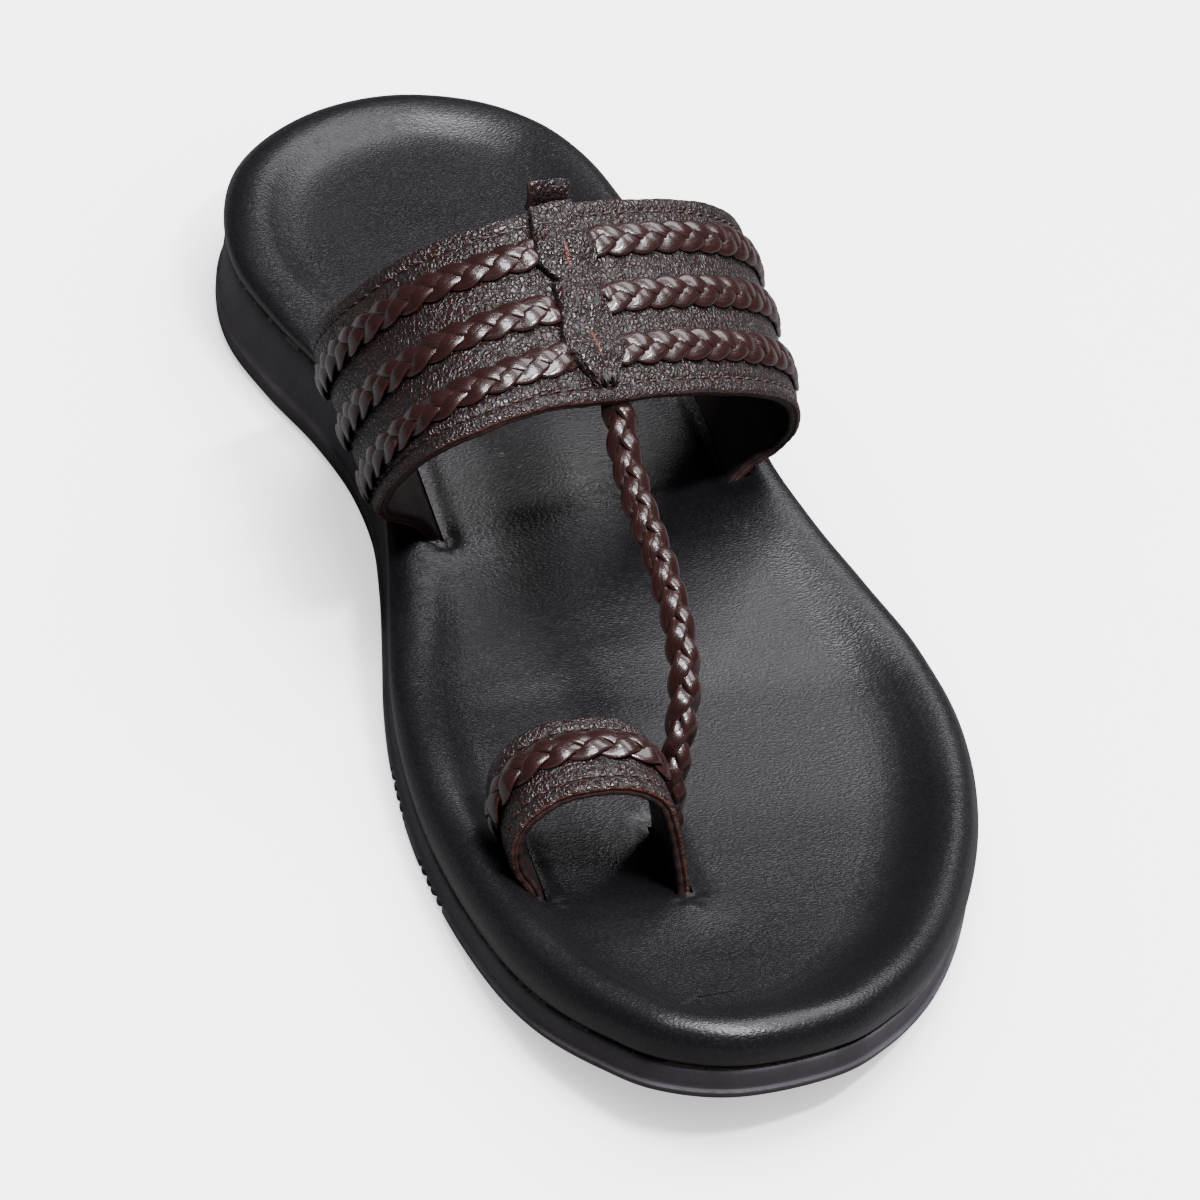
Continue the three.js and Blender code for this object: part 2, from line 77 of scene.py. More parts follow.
# Outline at the seam from the heel's tip to the toe's: (along, inner side, outer side)
SOLE_OUTLINE = (
    (137.2, -9.5, -9.5), (133.9, -24.5, 6.2), (126.0, -37.0, 16.8), (115.0, -46.2, 23.2),
    (101.5, -51.0, 26.8), (86.0, -51.9, 29.2), (70.0, -47.8, 31.8), (54.0, -41.8, 33.6),
    (38.0, -38.4, 34.2), (22.0, -38.0, 35.4), (6.0, -40.0, 39.6), (-10.0, -43.0, 45.4),
    (-26.0, -46.0, 50.9), (-42.0, -47.9, 53.2), (-58.0, -48.4, 52.2), (-74.0, -47.5, 48.4),
    (-89.0, -45.6, 42.6), (-103.0, -42.8, 35.4), (-115.0, -38.6, 27.2), (-125.0, -32.4, 17.6),
    (-132.8, -25.6, 6.6), (-137.2, -13.5, -13.5),
)

# Heights along the sole: (along, underside, seam, how far the footbed's rim stands over its dish)
SOLE_HEIGHTS = (
    (138, 1.4, 17.0, 3.2), (124, 0.0, 17.0, 3.2), (90, 0.0, 17.0, 2.6), (58, 0.0, 17.0, 1.0),
    (36, 0.8, 16.5, 1.0), (15, 2.4, 14.5, 1.0), (-3, 2.2, 11.8, 1.6), (-21, 0.6, 9.1, 2.6),
    (-36, 0.0, 7.4, 3.4), (-62, 0.0, 6.8, 4.4), (-80, 0.9, 7.7, 5.0), (-100, 3.1, 9.9, 5.4),
    (-120, 7.0, 13.7, 5.6), (-138, 11.4, 18.0, 5.6),
)

# The wall from the floor up: (inset from the outline, share of the wall's height)
OUTSOLE_WALL = (
    (1.4, 0.0), (0.7, 0.02), (0.0, 0.05), (-0.35, 0.09), (-0.5, 0.14), (-0.55, 0.20), (-0.6, 0.25),
    (-0.55, 0.28), (-0.3, 0.305), (0.0, 0.32), (0.1, 0.35), (0.1, 0.45), (0.1, 0.6), (0.12, 0.74),
    (0.15, 0.85), (0.25, 0.92), (0.5, 0.97), (0.9, 1.0),
)


def smooth_line(points, closed=False):
    """A smooth curve through points. Row 0 is the first point, row 1 the next, and rows past
    either end carry straight on."""
    given = np.array(points, float)
    count = len(given)
    ends = (given[-1:], given[:2]) if closed else (2 * given[:1] - given[1:2], 2 * given[-1:] - given[-2:-1])
    padded = np.vstack((ends[0], given, ends[1]))
    knots = np.sqrt(np.linalg.norm(np.diff(padded, axis=0), axis=1)).clip(1e-6)

    def at(rows):
        rows = np.asarray(rows, float)
        inside = rows % count if closed else np.clip(rows, 0, count - 1)
        first = np.floor(inside).astype(int)
        first = first if closed else np.minimum(first, count - 2)
        share = (inside - first)[..., None]
        a, b, c, d = (padded[first + k] for k in range(4))
        before, here, after = (knots[first + k][..., None] for k in range(3))
        leave = ((b - a) / before - (c - a) / (before + here)) * here + (c - b)
        arrive = ((d - c) / after - (d - b) / (here + after)) * here + (c - b)
        curve = b + share * (leave + share * (3 * (c - b) - 2 * leave - arrive
                                              + share * (2 * (b - c) + leave + arrive)))
        past = (rows - inside)[..., None] if not closed else 0.0
        step = np.where(rows[..., None] < 0, given[1] - given[0], given[-1] - given[-2])
        return curve + past * step

    return at


def unit(vectors):
    """The same directions, each one long."""
    return vectors / np.linalg.norm(vectors, axis=-1)[..., None]


def sole_height(column, along):
    """A column of the heights table, smooth between its rows and never past them."""
    table = np.array(SOLE_HEIGHTS, float)[::-1]
    places = table[:, 0]
    values = table[:, column]
    grades = np.diff(values) / np.diff(places)
    before = np.concatenate((grades[:1], grades))
    after = np.concatenate((grades, grades[-1:]))
    agree = before * after > 0
    slopes = np.where(agree, 2 * before * after / np.where(agree, before + after, 1.0), 0.0)
    along = np.clip(along, places[0], places[-1])
    row = np.clip(np.searchsorted(places, along) - 1, 0, len(places) - 2)
    span = places[row + 1] - places[row]
    s = (along - places[row]) / span
    return (values[row] * (2 * s**3 - 3 * s**2 + 1) + slopes[row] * span * (s**3 - 2 * s**2 + s)
            + values[row + 1] * (3 * s**2 - 2 * s**3) + slopes[row + 1] * span * (s**3 - s**2))


# The outline as an inner and an outer side with the same number of sections
outline_rows = [(inner, along) for along, inner, outer in SOLE_OUTLINE]
outline_rows += [(outer, along) for along, inner, outer in SOLE_OUTLINE[-2:0:-1]]
outline = smooth_line(outline_rows, closed=True)
outline_length = len(outline_rows)
sole_rows = np.linspace(0, outline_length / 2, outline_length // 2 * SOLE_STEPS + 1)


def outline_side(rows):
    """Points along one side of the outline, and the directions inwards from them."""
    tangent = unit(outline(rows + OUTLINE_NUDGE) - outline(rows - OUTLINE_NUDGE))
    return outline(rows), np.stack((-tangent[:, 1], tangent[:, 0]), 1)


sole_inner = outline_side(sole_rows)
sole_outer = outline_side(-sole_rows)
sole_low, sole_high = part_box("outsole")
outline_x = outline(np.linspace(0, outline_length, 2000))[:, 0]
centring = (sole_low.x + sole_high.x) / 2 / METRES - (outline_x.min() + outline_x.max()) / 2


def sole_line(side, inset, height):
    """The line round one side of the sole at an inset, as points, at a height that follows it."""
    flat = side[0] + np.asarray(inset).reshape(-1, 1) * side[1]
    return np.column_stack((flat, height(flat[:, 1])))


def sole_body(wall, floor_height, top_height, strips, top_strips):
    """The sections of a sole, each a closed loop: up the inner wall, over, down the outer wall and
    back underneath. wall is a list of (inset, height function), from the bottom up."""
    def crossings(inset, height, shares):
        for share in shares[1:-1]:
            line = sole_line(sole_inner, inset, top_height) * (1 - share)
            line += sole_line(sole_outer, inset, top_height) * share
            line[:, 2] = height(line[:, 1], share)
            yield line

    loops = [sole_line(sole_inner, inset, height) for inset, height in wall]
    loops += crossings(wall[-1][0], top_height, np.linspace(0, 1, top_strips + 1))
    loops += [sole_line(sole_outer, inset, height) for inset, height in wall[::-1]]
    loops += crossings(wall[0][0], floor_height, np.linspace(1, 0, strips + 1))
    return np.stack(loops, 1)


def tube_faces(rings, around, capped=True):
    """Quads that join rings of points into a tube, with flat ends."""
    ring, step = np.meshgrid(np.arange(rings - 1), np.arange(around), indexing="ij")
    far = (step + 1) % around
    quads = np.stack((ring * around + step, ring * around + far,
                      (ring + 1) * around + far, (ring + 1) * around + step), -1).reshape(-1, 4)
    faces = quads.tolist()
    if capped:
        faces.append(list(range(around))[::-1])
        faces.append([(rings - 1) * around + k for k in range(around)])
    return faces


def add_object(name, data):
    """A new object in the scene."""
    made = bpy.data.objects.new(name, data)
    bpy.context.scene.collection.objects.link(made)
    return made


def make_piece(name, points, faces, looks, look_of_face=None, place=None, merge=0.0):
    """A smooth mesh from points in millimetres. place is where each point lies on the flat leather."""
    mesh = bpy.data.meshes.new(name)
    placed = (np.asarray(points, float).reshape(-1, 3) + (centring, 0, 0)) * METRES
    mesh.from_pydata(placed.tolist(), [], faces)
    for look in looks:
        mesh.materials.append(look)
    if look_of_face is not None:
        mesh.polygons.foreach_set("material_index", np.asarray(look_of_face, np.int32))
    if place is not None:
        attribute = mesh.attributes.new("leather_place", "FLOAT_VECTOR", "POINT")
        attribute.data.foreach_set("vector", np.asarray(place, np.float32).ravel())
    shape = bmesh.new()
    shape.from_mesh(mesh)
    if merge:
        bmesh.ops.remove_doubles(shape, verts=shape.verts, dist=merge * METRES)
    bmesh.ops.recalc_face_normals(shape, faces=shape.faces)
    shape.to_mesh(mesh)
    shape.free()
    mesh.shade_smooth()
    return add_object(name, mesh)


def fit_piece(piece, slot, *nodes):
    """The piece is fixed to the shoe and stands for these solids, which are hidden. The slot is not used."""
    if nodes:
        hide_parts(*nodes)
    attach(piece, "root")


def tread_cut(along):
    """How far the tread is cut into the underside, by place along the sole."""
    along = np.asarray(along, float)
    cut = np.zeros_like(along)
    for start, stop in TREAD_RUNS:
        number = np.round((start - along) / TREAD_GROOVE["pitch"])
        middle = start - number * TREAD_GROOVE["pitch"]
        inside = (middle <= start + 0.1) & (middle >= stop)
        flank = TREAD_GROOVE["width"] / 2 + TREAD_GROOVE["bevel"] / 2 - np.abs(along - middle)
        depth = TREAD_GROOVE["depth"] * np.clip(flank / TREAD_GROOVE["bevel"], 0, 1)
        cut = np.maximum(cut, np.where(inside, depth, 0))
    return cut


def tooth_cut(along):
    """How far the fine side teeth are cut into the wall."""
    along = np.asarray(along, float)
    wave = np.clip(0.5 + TOOTH["steepness"] * np.cos(2 * math.pi * along / TOOTH["pitch"]), 0, 1)
    inside = np.zeros_like(along)
    for start, stop in TOOTH_RUNS:
        from_end = np.minimum(start - along, along - stop)
        inside = np.maximum(inside, np.clip(from_end / TOOTH["end"], 0, 1))
    return TOOTH["depth"] * wave * inside


def outsole_under(along, across=0.5):
    from_side = min(across, 1 - across)
    return sole_height(1, along) + tread_cut(along) * min(1.0, from_side / TREAD_GROOVE["margin"])


def outsole_top(along, across=0.5):
    return sole_height(2, along) - SEAM_GAP


def outsole_wall_height(share):
    return lambda along: sole_height(1, along) * (1 - share) + outsole_top(along) * share


outsole_rings = []
for inset, share in OUTSOLE_WALL:
    teeth = tooth_cut(sole_inner[0][:, 1]) * np.clip((TOOTH["reach"] - share) / TOOTH["fade"], 0, 1)
    outsole_rings.append((inset + teeth, outsole_wall_height(share)))
outsole_loops = sole_body(outsole_rings, outsole_under, outsole_top, SOLE_TREAD_STRIPS, SOLE_TOP_STRIPS)


def dye(red, green, blue):
    """A colour from the 0 to 255 numbers of a swatch card."""
    return tuple((part / 255) ** 2.2 for part in (red, green, blue)) + (1.0,)


def new_look(name):
    """A material with one Principled shader, its node tree and that shader."""
    look = bpy.data.materials.new(name)
    look.use_nodes = True
    tree = look.node_tree
    return look, tree, tree.nodes["Principled BSDF"]


def feed(tree, socket, source):
    """Joins a socket to another one, or sets it to a plain value."""
    if hasattr(source, "is_output"):
        tree.links.new(source, socket)
    else:
        socket.default_value = source


def node(tree, kind, joins=(), **values):
    """A shader node. joins are (its input, where it comes from), and values are its own settings."""
    made = tree.nodes.new("ShaderNode" + kind)
    for name, value in values.items():
        setattr(made, name, value)
    for name, source in joins:
        feed(tree, made.inputs[name], source)
    return made


def mixed(tree, amount, low, high):
    """A colour between two others."""
    return node(tree, "Mix", ((0, amount), (6, low), (7, high)), data_type="RGBA").outputs[2]


def ranged(tree, value, low, high, to_low=0.0, to_high=1.0):
    """A value taken from one range to another, held at both ends."""
    spread = node(tree, "MapRange", (("Value", value), ("From Min", low), ("From Max", high),
                                     ("To Min", to_low), ("To Max", to_high)))
    return spread.outputs["Result"]


def maths(tree, operation, *values):
    """The result of a sum with one, two or three values."""
    return node(tree, "Math", enumerate(values), operation=operation).outputs[0]


def noise(tree, place, scale, detail, **more):
    """Soft noise from 0 to 1."""
    joins = [("Vector", place), ("Scale", scale), ("Detail", detail)] + list(more.items())
    return node(tree, "TexNoise", joins).outputs["Fac"]


def bumped(tree, height, distance, **more):
    """The normal of a surface raised by a height."""
    joins = [("Height", height), ("Distance", distance)] + list(more.items())
    return node(tree, "Bump", joins).outputs["Normal"]


def dress(tree, shader, colour, roughness, normal):
    """Joins a colour, a roughness and a normal to a look's shader."""
    for name, source in (("Base Color", colour), ("Roughness", roughness), ("Normal", normal)):
        tree.links.new(source, shader.inputs[name])


def new_effect(name, inputs, outputs):
    """An empty node group with named sockets: its tree, its inputs and its outputs."""
    effect = bpy.data.node_groups.new(name, "ShaderNodeTree")
    for label, kind, value in inputs:
        socket = effect.interface.new_socket(label, in_out="INPUT", socket_type="NodeSocket" + kind)
        socket.default_value = value
    for label, kind in outputs:
        effect.interface.new_socket(label, in_out="OUTPUT", socket_type="NodeSocket" + kind)
    return effect, effect.nodes.new("NodeGroupInput").outputs, effect.nodes.new("NodeGroupOutput").inputs


def placed(tree, effect, **values):
    """An effect group in a material, with its own values."""
    made = tree.nodes.new("ShaderNodeGroup")
    made.node_tree = effect
    for name, source in values.items():
        feed(tree, made.inputs[name.replace("_", " ")], source)
    return made.outputs


# Dust and rubbed edges, shared by the rubber and the leathers. Worn is 1 along proud edges.
rub_effect, rub_in, rub_out = new_effect(
    "rubbed edges and dust",
    (("Edge Start", "Float", 0.52), ("Edge End", "Float", 0.6), ("Patch Size", "Float", 12.0)),
    (("Worn", "Float"), ("Dust", "Float")))
rub_shape = node(rub_effect, "NewGeometry").outputs["Pointiness"]
rub_place = node(rub_effect, "TexCoord").outputs["Object"]
rub_scale = maths(rub_effect, "DIVIDE", 1.0 / METRES, rub_in["Patch Size"])
rub_edge = ranged(rub_effect, rub_shape, rub_in["Edge Start"], rub_in["Edge End"])
rub_uneven = ranged(rub_effect, noise(rub_effect, rub_place, rub_scale, 5.0, Roughness=0.65), 0.38, 0.62)
rub_effect.links.new(maths(rub_effect, "MULTIPLY", rub_edge, rub_uneven), rub_out["Worn"])
rub_effect.links.new(rub_uneven, rub_out["Dust"])


def flat_place(tree):
    """Where a point lies on the piece before it is bent: along, across and up, in millimetres."""
    return node(tree, "Attribute", attribute_name="leather_place").outputs["Vector"]


# Moulded rubber: a dull, slightly pitted charcoal, paler where it is rubbed
rubber, tree, shader = new_look("moulded rubber")
rubber_rub = placed(tree, rub_effect, Edge_Start=0.515, Edge_End=0.58, Patch_Size=9.0)
rubber_pits = noise(tree, node(tree, "TexCoord").outputs["Object"], 2600.0, 4.0)
rubber_dust = mixed(tree, rubber_rub["Dust"], dye(66, 63, 68), dye(74, 71, 77))
rubber_worn = mixed(tree, rubber_rub["Worn"], rubber_dust, dye(112, 110, 112))
wall_share = node(tree, "SeparateXYZ", (("Vector", flat_place(tree)),)).outputs["Y"]
glue_spots = noise(tree, flat_place(tree), 0.55, 3.0)
glue_there = maths(tree, "MULTIPLY", ranged(tree, glue_spots, 0.52, 0.56),
                   ranged(tree, wall_share, 0.955, 0.985))
dress(tree, shader, mixed(tree, glue_there, rubber_worn, dye(150, 140, 138)),
      ranged(tree, rubber_pits, 0.3, 0.7, 0.5, 0.68), bumped(tree, rubber_pits, 0.00008, Strength=0.7))
shader.inputs["Specular IOR Level"].default_value = 0.4

wall_shares = [share for _, share in OUTSOLE_WALL]
outsole_shares = wall_shares + [1.0] * (SOLE_TOP_STRIPS - 1) + wall_shares[::-1]
outsole_shares += [0.0] * (SOLE_TREAD_STRIPS - 1)
share_grid, along_grid = np.meshgrid(outsole_shares, outsole_loops[:, 0, 1])
outsole_place = np.stack((along_grid, share_grid, 0 * share_grid), -1)
outsole = make_piece("moulded_outsole", outsole_loops, tube_faces(*outsole_loops.shape[:2]), [rubber],
                     place=outsole_place, merge=0.002)
fit_piece(outsole, "rubber", "outsole")

# ======== FOOTBED ========
# A moulded foam pad covered in soft black leatherette, with a puffy rim round a
# dish that is raised under the arch. It is slit where the strap ends are pulled
# through, and the cover is drawn down and puckers beside each slit.

PAD_THICKNESS = 3.0  # over the seam, in the middle of the dish
ARCH = {"rise": 2.86, "middle": 24.0, "length": 34.0}
PAD_STRIPS = 64
PAD_BACK_STRIPS = 8
PAD_TOP_MARGIN = 0.6  # how far under the floor's height still counts as the pad's top
PAD_PROFILE_STEPS = 5  # between two rows of the profile
SLOT_CLEARANCE = 0.35

# From the seam up and in over the rim: (inset, share of the floor's height, share of the rim's)
PAD_PROFILE = (
    (0.9, 0.0, 0.0), (-0.3, 0.35, 0.05), (-0.6, 0.7, 0.3), (0.4, 0.9, 0.66), (2.4, 1.0, 0.93),
    (4.8, 1.0, 1.0), (7.2, 1.0, 0.84), (9.8, 1.0, 0.5), (12.4, 1.0, 0.2), (15.2, 1.0, 0.05),
    (18.4, 1.0, 0.0),
)

# Slits in the pad: (rear end x, y, front end x, y)
PAD_SLITS = ((-31.5, 52.0, -30.8, 5.7), (25.0, 58.6, 27.0, 16.9), (-33.6, -67.6, -33.6, -86.0),
             (-8.0, -67.6, -8.0, -86.0))
SLIT_DRAW = {"flat": 1.6, "depth": 0.7, "reach": 1.9}

# Small puckers and dents: (x, y, radius, height, folds, turn)
PUCKERS = (
    (27.6, 15.4, 2.4, 0.22, 6, 0.3), (-30.6, 3.8, 2.4, 0.16, 5, 0.9), (-31.2, 54.0, 2.6, 0.25, 5, 0.2),
    (25.2, 60.6, 2.6, 0.25, 5, 1.2), (-32.6, -88.0, 3.4, 0.34, 5, 0.5), (-8.2, -88.4, 3.2, 0.26, 4, 0.2),
    (-8.0, -65.2, 2.6, 0.22, 4, 0.8),
)
PUCKER_RING = 0.55  # where its folds are tallest, as a share of its radius
SWELLINGS = ((-8.2, -91.0, 6.0, 0.55), (-31.0, -91.5, 5.0, 0.6), (-14.0, -80.0, 5.0, -0.25),
             (-27.5, 2.0, 7.0, 0.35), (23.0, 13.0, 6.0, 0.3))


def pad_seam(along, across=0.5):
    return sole_height(2, along) + SEAM_GAP


def pad_floor(along):
    return pad_seam(along) + PAD_THICKNESS


def pad_dish(along, across=0.5):
    arch = ARCH["rise"] * np.exp(-(((along - ARCH["middle"]) / ARCH["length"]) ** 2))
    return pad_floor(along) + arch * math.sin(math.pi * across) ** 2 * (1 - across)


def pad_ring_height(floor_share, rim_share):
    return lambda along: (pad_seam(along) * (1 - floor_share) + pad_floor(along) * floor_share
                          + rim_share * sole_height(3, along))


def distance_to_slit(x, y, slit):
    x0, y0, x1, y1 = slit
    share = np.clip(((x - x0) * (x1 - x0) + (y - y0) * (y1 - y0)) / ((x1 - x0) ** 2 + (y1 - y0) ** 2), 0, 1)
    return np.hypot(x - x0 - share * (x1 - x0), y - y0 - share * (y1 - y0))


pad_profile = smooth_line(PAD_PROFILE)(np.linspace(0, len(PAD_PROFILE) - 1,
                                                   (len(PAD_PROFILE) - 1) * PAD_PROFILE_STEPS + 1))
pad_rings = [(inset, pad_ring_height(floor, rim)) for inset, floor, rim in pad_profile]
pad_loops = sole_body(pad_rings, pad_seam, pad_dish, PAD_BACK_STRIPS, PAD_STRIPS)
pad_x, pad_y, pad_z = (pad_loops[:, :, k] for k in range(3))
pad_is_top = pad_z > pad_floor(pad_y) - PAD_TOP_MARGIN
for slit in PAD_SLITS:
    near = np.clip(distance_to_slit(pad_x, pad_y, slit) - SLIT_DRAW["flat"], 0, None)
    pad_z -= pad_is_top * SLIT_DRAW["depth"] * np.exp(-((near / SLIT_DRAW["reach"]) ** 2))
for x, y, radius, height, folds, turn in PUCKERS:
    far = np.hypot(pad_x - x, pad_y - y)
    ray = np.cos(folds * np.arctan2(pad_y - y, pad_x - x) + turn * math.pi)
    from_ring = (far - PUCKER_RING * radius) / ((1 - PUCKER_RING) * radius)
    pad_z += pad_is_top * height * ray * np.exp(-(from_ring**2))
for x, y, radius, height in SWELLINGS:
    pad_z += pad_is_top * height * np.exp(-(((pad_x - x) ** 2 + (pad_y - y) ** 2) / radius**2))


def grain_cells(effect, place, along, across, sway, push, dome):
    """A place on a leather bent by soft noise and scaled to its grain, and how far up one of the
    grain's small pillows it lies."""
    drift = node(effect, "TexNoise", (("Vector", place), ("Scale", sway), ("Detail", 3.0))).outputs["Color"]
    pushed = node(effect, "VectorMath", ((0, drift), (1, (push, push, 0.0))), operation="MULTIPLY").outputs[0]
    bent = node(effect, "VectorMath", ((0, place), (1, pushed)), operation="ADD").outputs[0]
    size = node(effect, "CombineXYZ", (("X", along), ("Y", across), ("Z", along))).outputs[0]
    scaled = node(effect, "VectorMath", ((0, bent), (1, size)), operation="MULTIPLY").outputs[0]
    cells = node(effect, "TexVoronoi", (("Vector", scaled), ("Scale", 1.0)), feature="DISTANCE_TO_EDGE")
    return scaled, ranged(effect, cells.outputs["Distance"], 0.0, dome)


# Soft leatherette: near black, with fine wavy creases that mostly run across the foot
nappa_effect, nappa_in, nappa_out = new_effect(
    "nappa grain", (("Crease Length", "Float", 1.6), ("Crease Width", "Float", 0.65)),
    (("Height", "Float"), ("Sheen Patches", "Float")))
nappa_place = node(nappa_effect, "TexCoord").outputs["Object"]
nappa_along = maths(nappa_effect, "DIVIDE", 1.0 / METRES, nappa_in["Crease Length"])
nappa_across = maths(nappa_effect, "DIVIDE", 1.0 / METRES, nappa_in["Crease Width"])
nappa_scaled, nappa_pillow = grain_cells(nappa_effect, nappa_place, nappa_along, nappa_across,
                                         sway=420.0, push=0.0011, dome=0.32)
nappa_fine = noise(nappa_effect, nappa_scaled, 2.2, 3.0)
nappa_height = maths(nappa_effect, "MULTIPLY_ADD", nappa_fine, 0.6, nappa_pillow)
nappa_effect.links.new(nappa_height, nappa_out["Height"])
nappa_effect.links.new(noise(nappa_effect, nappa_place, 55.0, 4.0), nappa_out["Sheen Patches"])

leatherette, tree, shader = new_look("black leatherette")
pad_nappa = placed(tree, nappa_effect, Crease_Length=1.15, Crease_Width=0.55)
pad_rub = placed(tree, rub_effect, Edge_Start=0.51, Edge_End=0.62, Patch_Size=30.0)
# The colour runs darker down in the grain's creases and paler on its pillows: painted shade in the creases.
pad_colour_painted_crease_shade = mixed(tree, pad_nappa["Height"], dye(15, 14, 16), dye(27, 26, 29))
dress(tree, shader, mixed(tree, pad_rub["Worn"], pad_colour_painted_crease_shade, dye(40, 38, 42)),
      ranged(tree, pad_nappa["Sheen Patches"], 0.3, 0.7, 0.32, 0.4),
      bumped(tree, pad_nappa["Height"], 0.00004, Strength=0.7))
shader.inputs["Specular IOR Level"].default_value = 0.45

# ======== VAMP STRAP ========
# One wide strap over the instep: pebbled goat leather on a smooth lining, glued
# and sewn together near both edges, with the cut edges left raw. Its ends go
# down through slits in the footbed and are fixed between pad and sole.

STRAP_WALL = 2.6
VAMP_WIDTH = 44.0  # across the strap, on average
STRAP_STEPS = 14  # sections between two rows
STRAP_WAVE = {"height": 0.1, "along": 0.17, "slant": 0.31, "across": 0.23}  # how softly it lies
CUT_REACH = 3.0  # how far in from a cut edge its unevenness is felt
SEWN_PLACES = (0.9, 1.4, 1.9, 2.3, 2.6, 2.8, 3.0, 3.2, 3.4, 3.6, 3.9, 4.3, 4.8)  # close columns there
HAND_CUT = ((0.12, 0.21, 1.0), (0.072, 0.57, 2.1), (0.06, 1.9, 3.7))  # unevenness along a cut edge
STITCH = {"inset": 3.1, "length": 2.0, "pitch": 2.9, "thread": 0.42, "flatness": 1.25}
STITCH_GROOVE = {"depth": 0.32, "width": 0.5}
STITCH_DIVE = {"proud": 0.18, "ends": 0.45, "thinner": 0.35}  # how a thread lies in its groove

# Outer face along its two edges, one row per fold from the inner slot to the outer: (x, y, z)
VAMP_REAR_EDGE = (
    (-33.0, 51.7, 17.9), (-37.0, 50.7, 23.3), (-44.5, 46.7, 29.2), (-49.9, 39.6, 36.2),
    (-50.7, 32.8, 46.6), (-46.9, 27.3, 57.5), (-38.9, 23.8, 67.5), (-25.7, 21.8, 74.9),
    (-12.3, 23.9, 77.0), (0.5, 26.8, 75.7), (12.0, 30.3, 72.8), (22.3, 35.2, 66.9),
    (30.1, 42.9, 56.4), (34.5, 52.1, 41.2), (34.0, 55.7, 30.2), (30.0, 57.9, 23.6),
    (26.5, 58.7, 17.9),
)
VAMP_FRONT_EDGE = (
    (-32.0, 5.7, 14.1), (-36.1, 5.3, 19.4), (-43.0, 1.7, 24.3), (-46.7, -4.4, 32.7),
    (-46.4, -11.7, 44.6), (-41.3, -17.2, 56.0), (-32.9, -18.7, 61.8), (-21.2, -16.1, 63.1),
    (-9.3, -12.8, 61.4), (3.5, -9.2, 59.4), (16.0, -4.0, 55.2), (27.0, 2.3, 48.7),
    (34.6, 9.4, 40.3), (37.5, 14.6, 30.1), (36.0, 17.4, 23.6), (31.6, 17.4, 20.0),
    (28.0, 16.7, 15.5),
)
VAMP_ROWS = len(VAMP_REAR_EDGE) - 1
SPINE_ROW = 7.88  # the middle of the strap, by row of both edges

# Section through a strap's cut edge, from its lining round to its face: (from the edge, lift)
CUT_EDGE = (
    (1.3, -2.6), (0.6, -2.52), (0.2, -2.3), (0.02, -1.95), (0.04, -1.6), (0.14, -1.42), (0.24, -1.32),
    (0.14, -1.22), (0.03, -1.05), (0.0, -0.7), (0.1, -0.32), (0.4, -0.07), (0.9, 0.0),
)
GLUE_LINE = -1.32  # where the face and the lining meet

rear_edge = smooth_line(VAMP_REAR_EDGE)
front_edge = smooth_line(VAMP_FRONT_EDGE)


def vamp_face(across, row):
    """The strap's outer face: across is 0 at the rear edge and 1 at the front one."""
    share = np.asarray(across, float)[..., None]
    return rear_edge(row) * (1 - share) + front_edge(row) * share


def face_frame(face, across, row):
    """Points of a face, their normals, and the directions across its rows."""
    step = 0.01
    across, row = np.broadcast_arrays(np.asarray(across, float), np.asarray(row, float))
    along_row = face(across, row + step) - face(across, row - step)
    across_row = face(across + step, row) - face(across - step, row)
    return face(across, row), unit(np.cross(across_row, along_row)), unit(across_row)


def lifted(face, across, row, lift):
    """Points of a face moved out along its normals."""
    point, normal = face_frame(face, across, row)[:2]
    return point + normal * np.asarray(lift, float)[..., None]


def line_length(points):
    """Millimetres along a line at each of its points."""
    return np.concatenate(([0.0], np.cumsum(np.linalg.norm(np.diff(points, axis=0), axis=1))))


def length_along(face, rows):
    """Millimetres along the middle of a face at each of its rows."""
    return line_length(face(np.full(len(rows), 0.5), rows))


def strap_section(width, columns):
    """The loop of a strap's section as (millimetres across, lift), and each side's material."""
    edge = list(CUT_EDGE)
    sewn = list(SEWN_PLACES)
    middle = np.linspace(sewn[-1], width - sewn[-1], columns + 1)[1:-1]
    rear = edge[:-1]
    face_places = sewn + list(middle) + [width - place for place in sewn[::-1]]
    loop = rear + [(place, 0.0) for place in face_places]
    loop += [(width - place, lift) for place, lift in rear[::-1]]
    lining = np.linspace(width - edge[0][0], edge[0][0], columns // 2 + 1)[1:-1]
    loop += [(place, -STRAP_WALL) for place in lining]
    rear_looks = [1, 1] + [2] * (len(rear) - 5) + [0, 0]
    looks = rear_looks + [0] * (len(face_places) + 1) + rear_looks[::-1]
    looks += [1] * (len(loop) - len(looks))
    return np.array(loop), np.array(looks)


def stitch_dip(place, width):
    """How far the face is drawn down by the thread, by millimetres across it."""
    dip = np.zeros_like(place)
    for line in (STITCH["inset"], width - STITCH["inset"]):
        dip += STITCH_GROOVE["depth"] * np.exp(-(((place - line) / STITCH_GROOVE["width"]) ** 2))
    return dip


def ripple(place, waves, seed):
    """Waves added up at a place. Each is (height, pace, how much the seed shifts it)."""
    return sum(height * np.sin(pace * place + shift * seed) for height, pace, shift in waves)


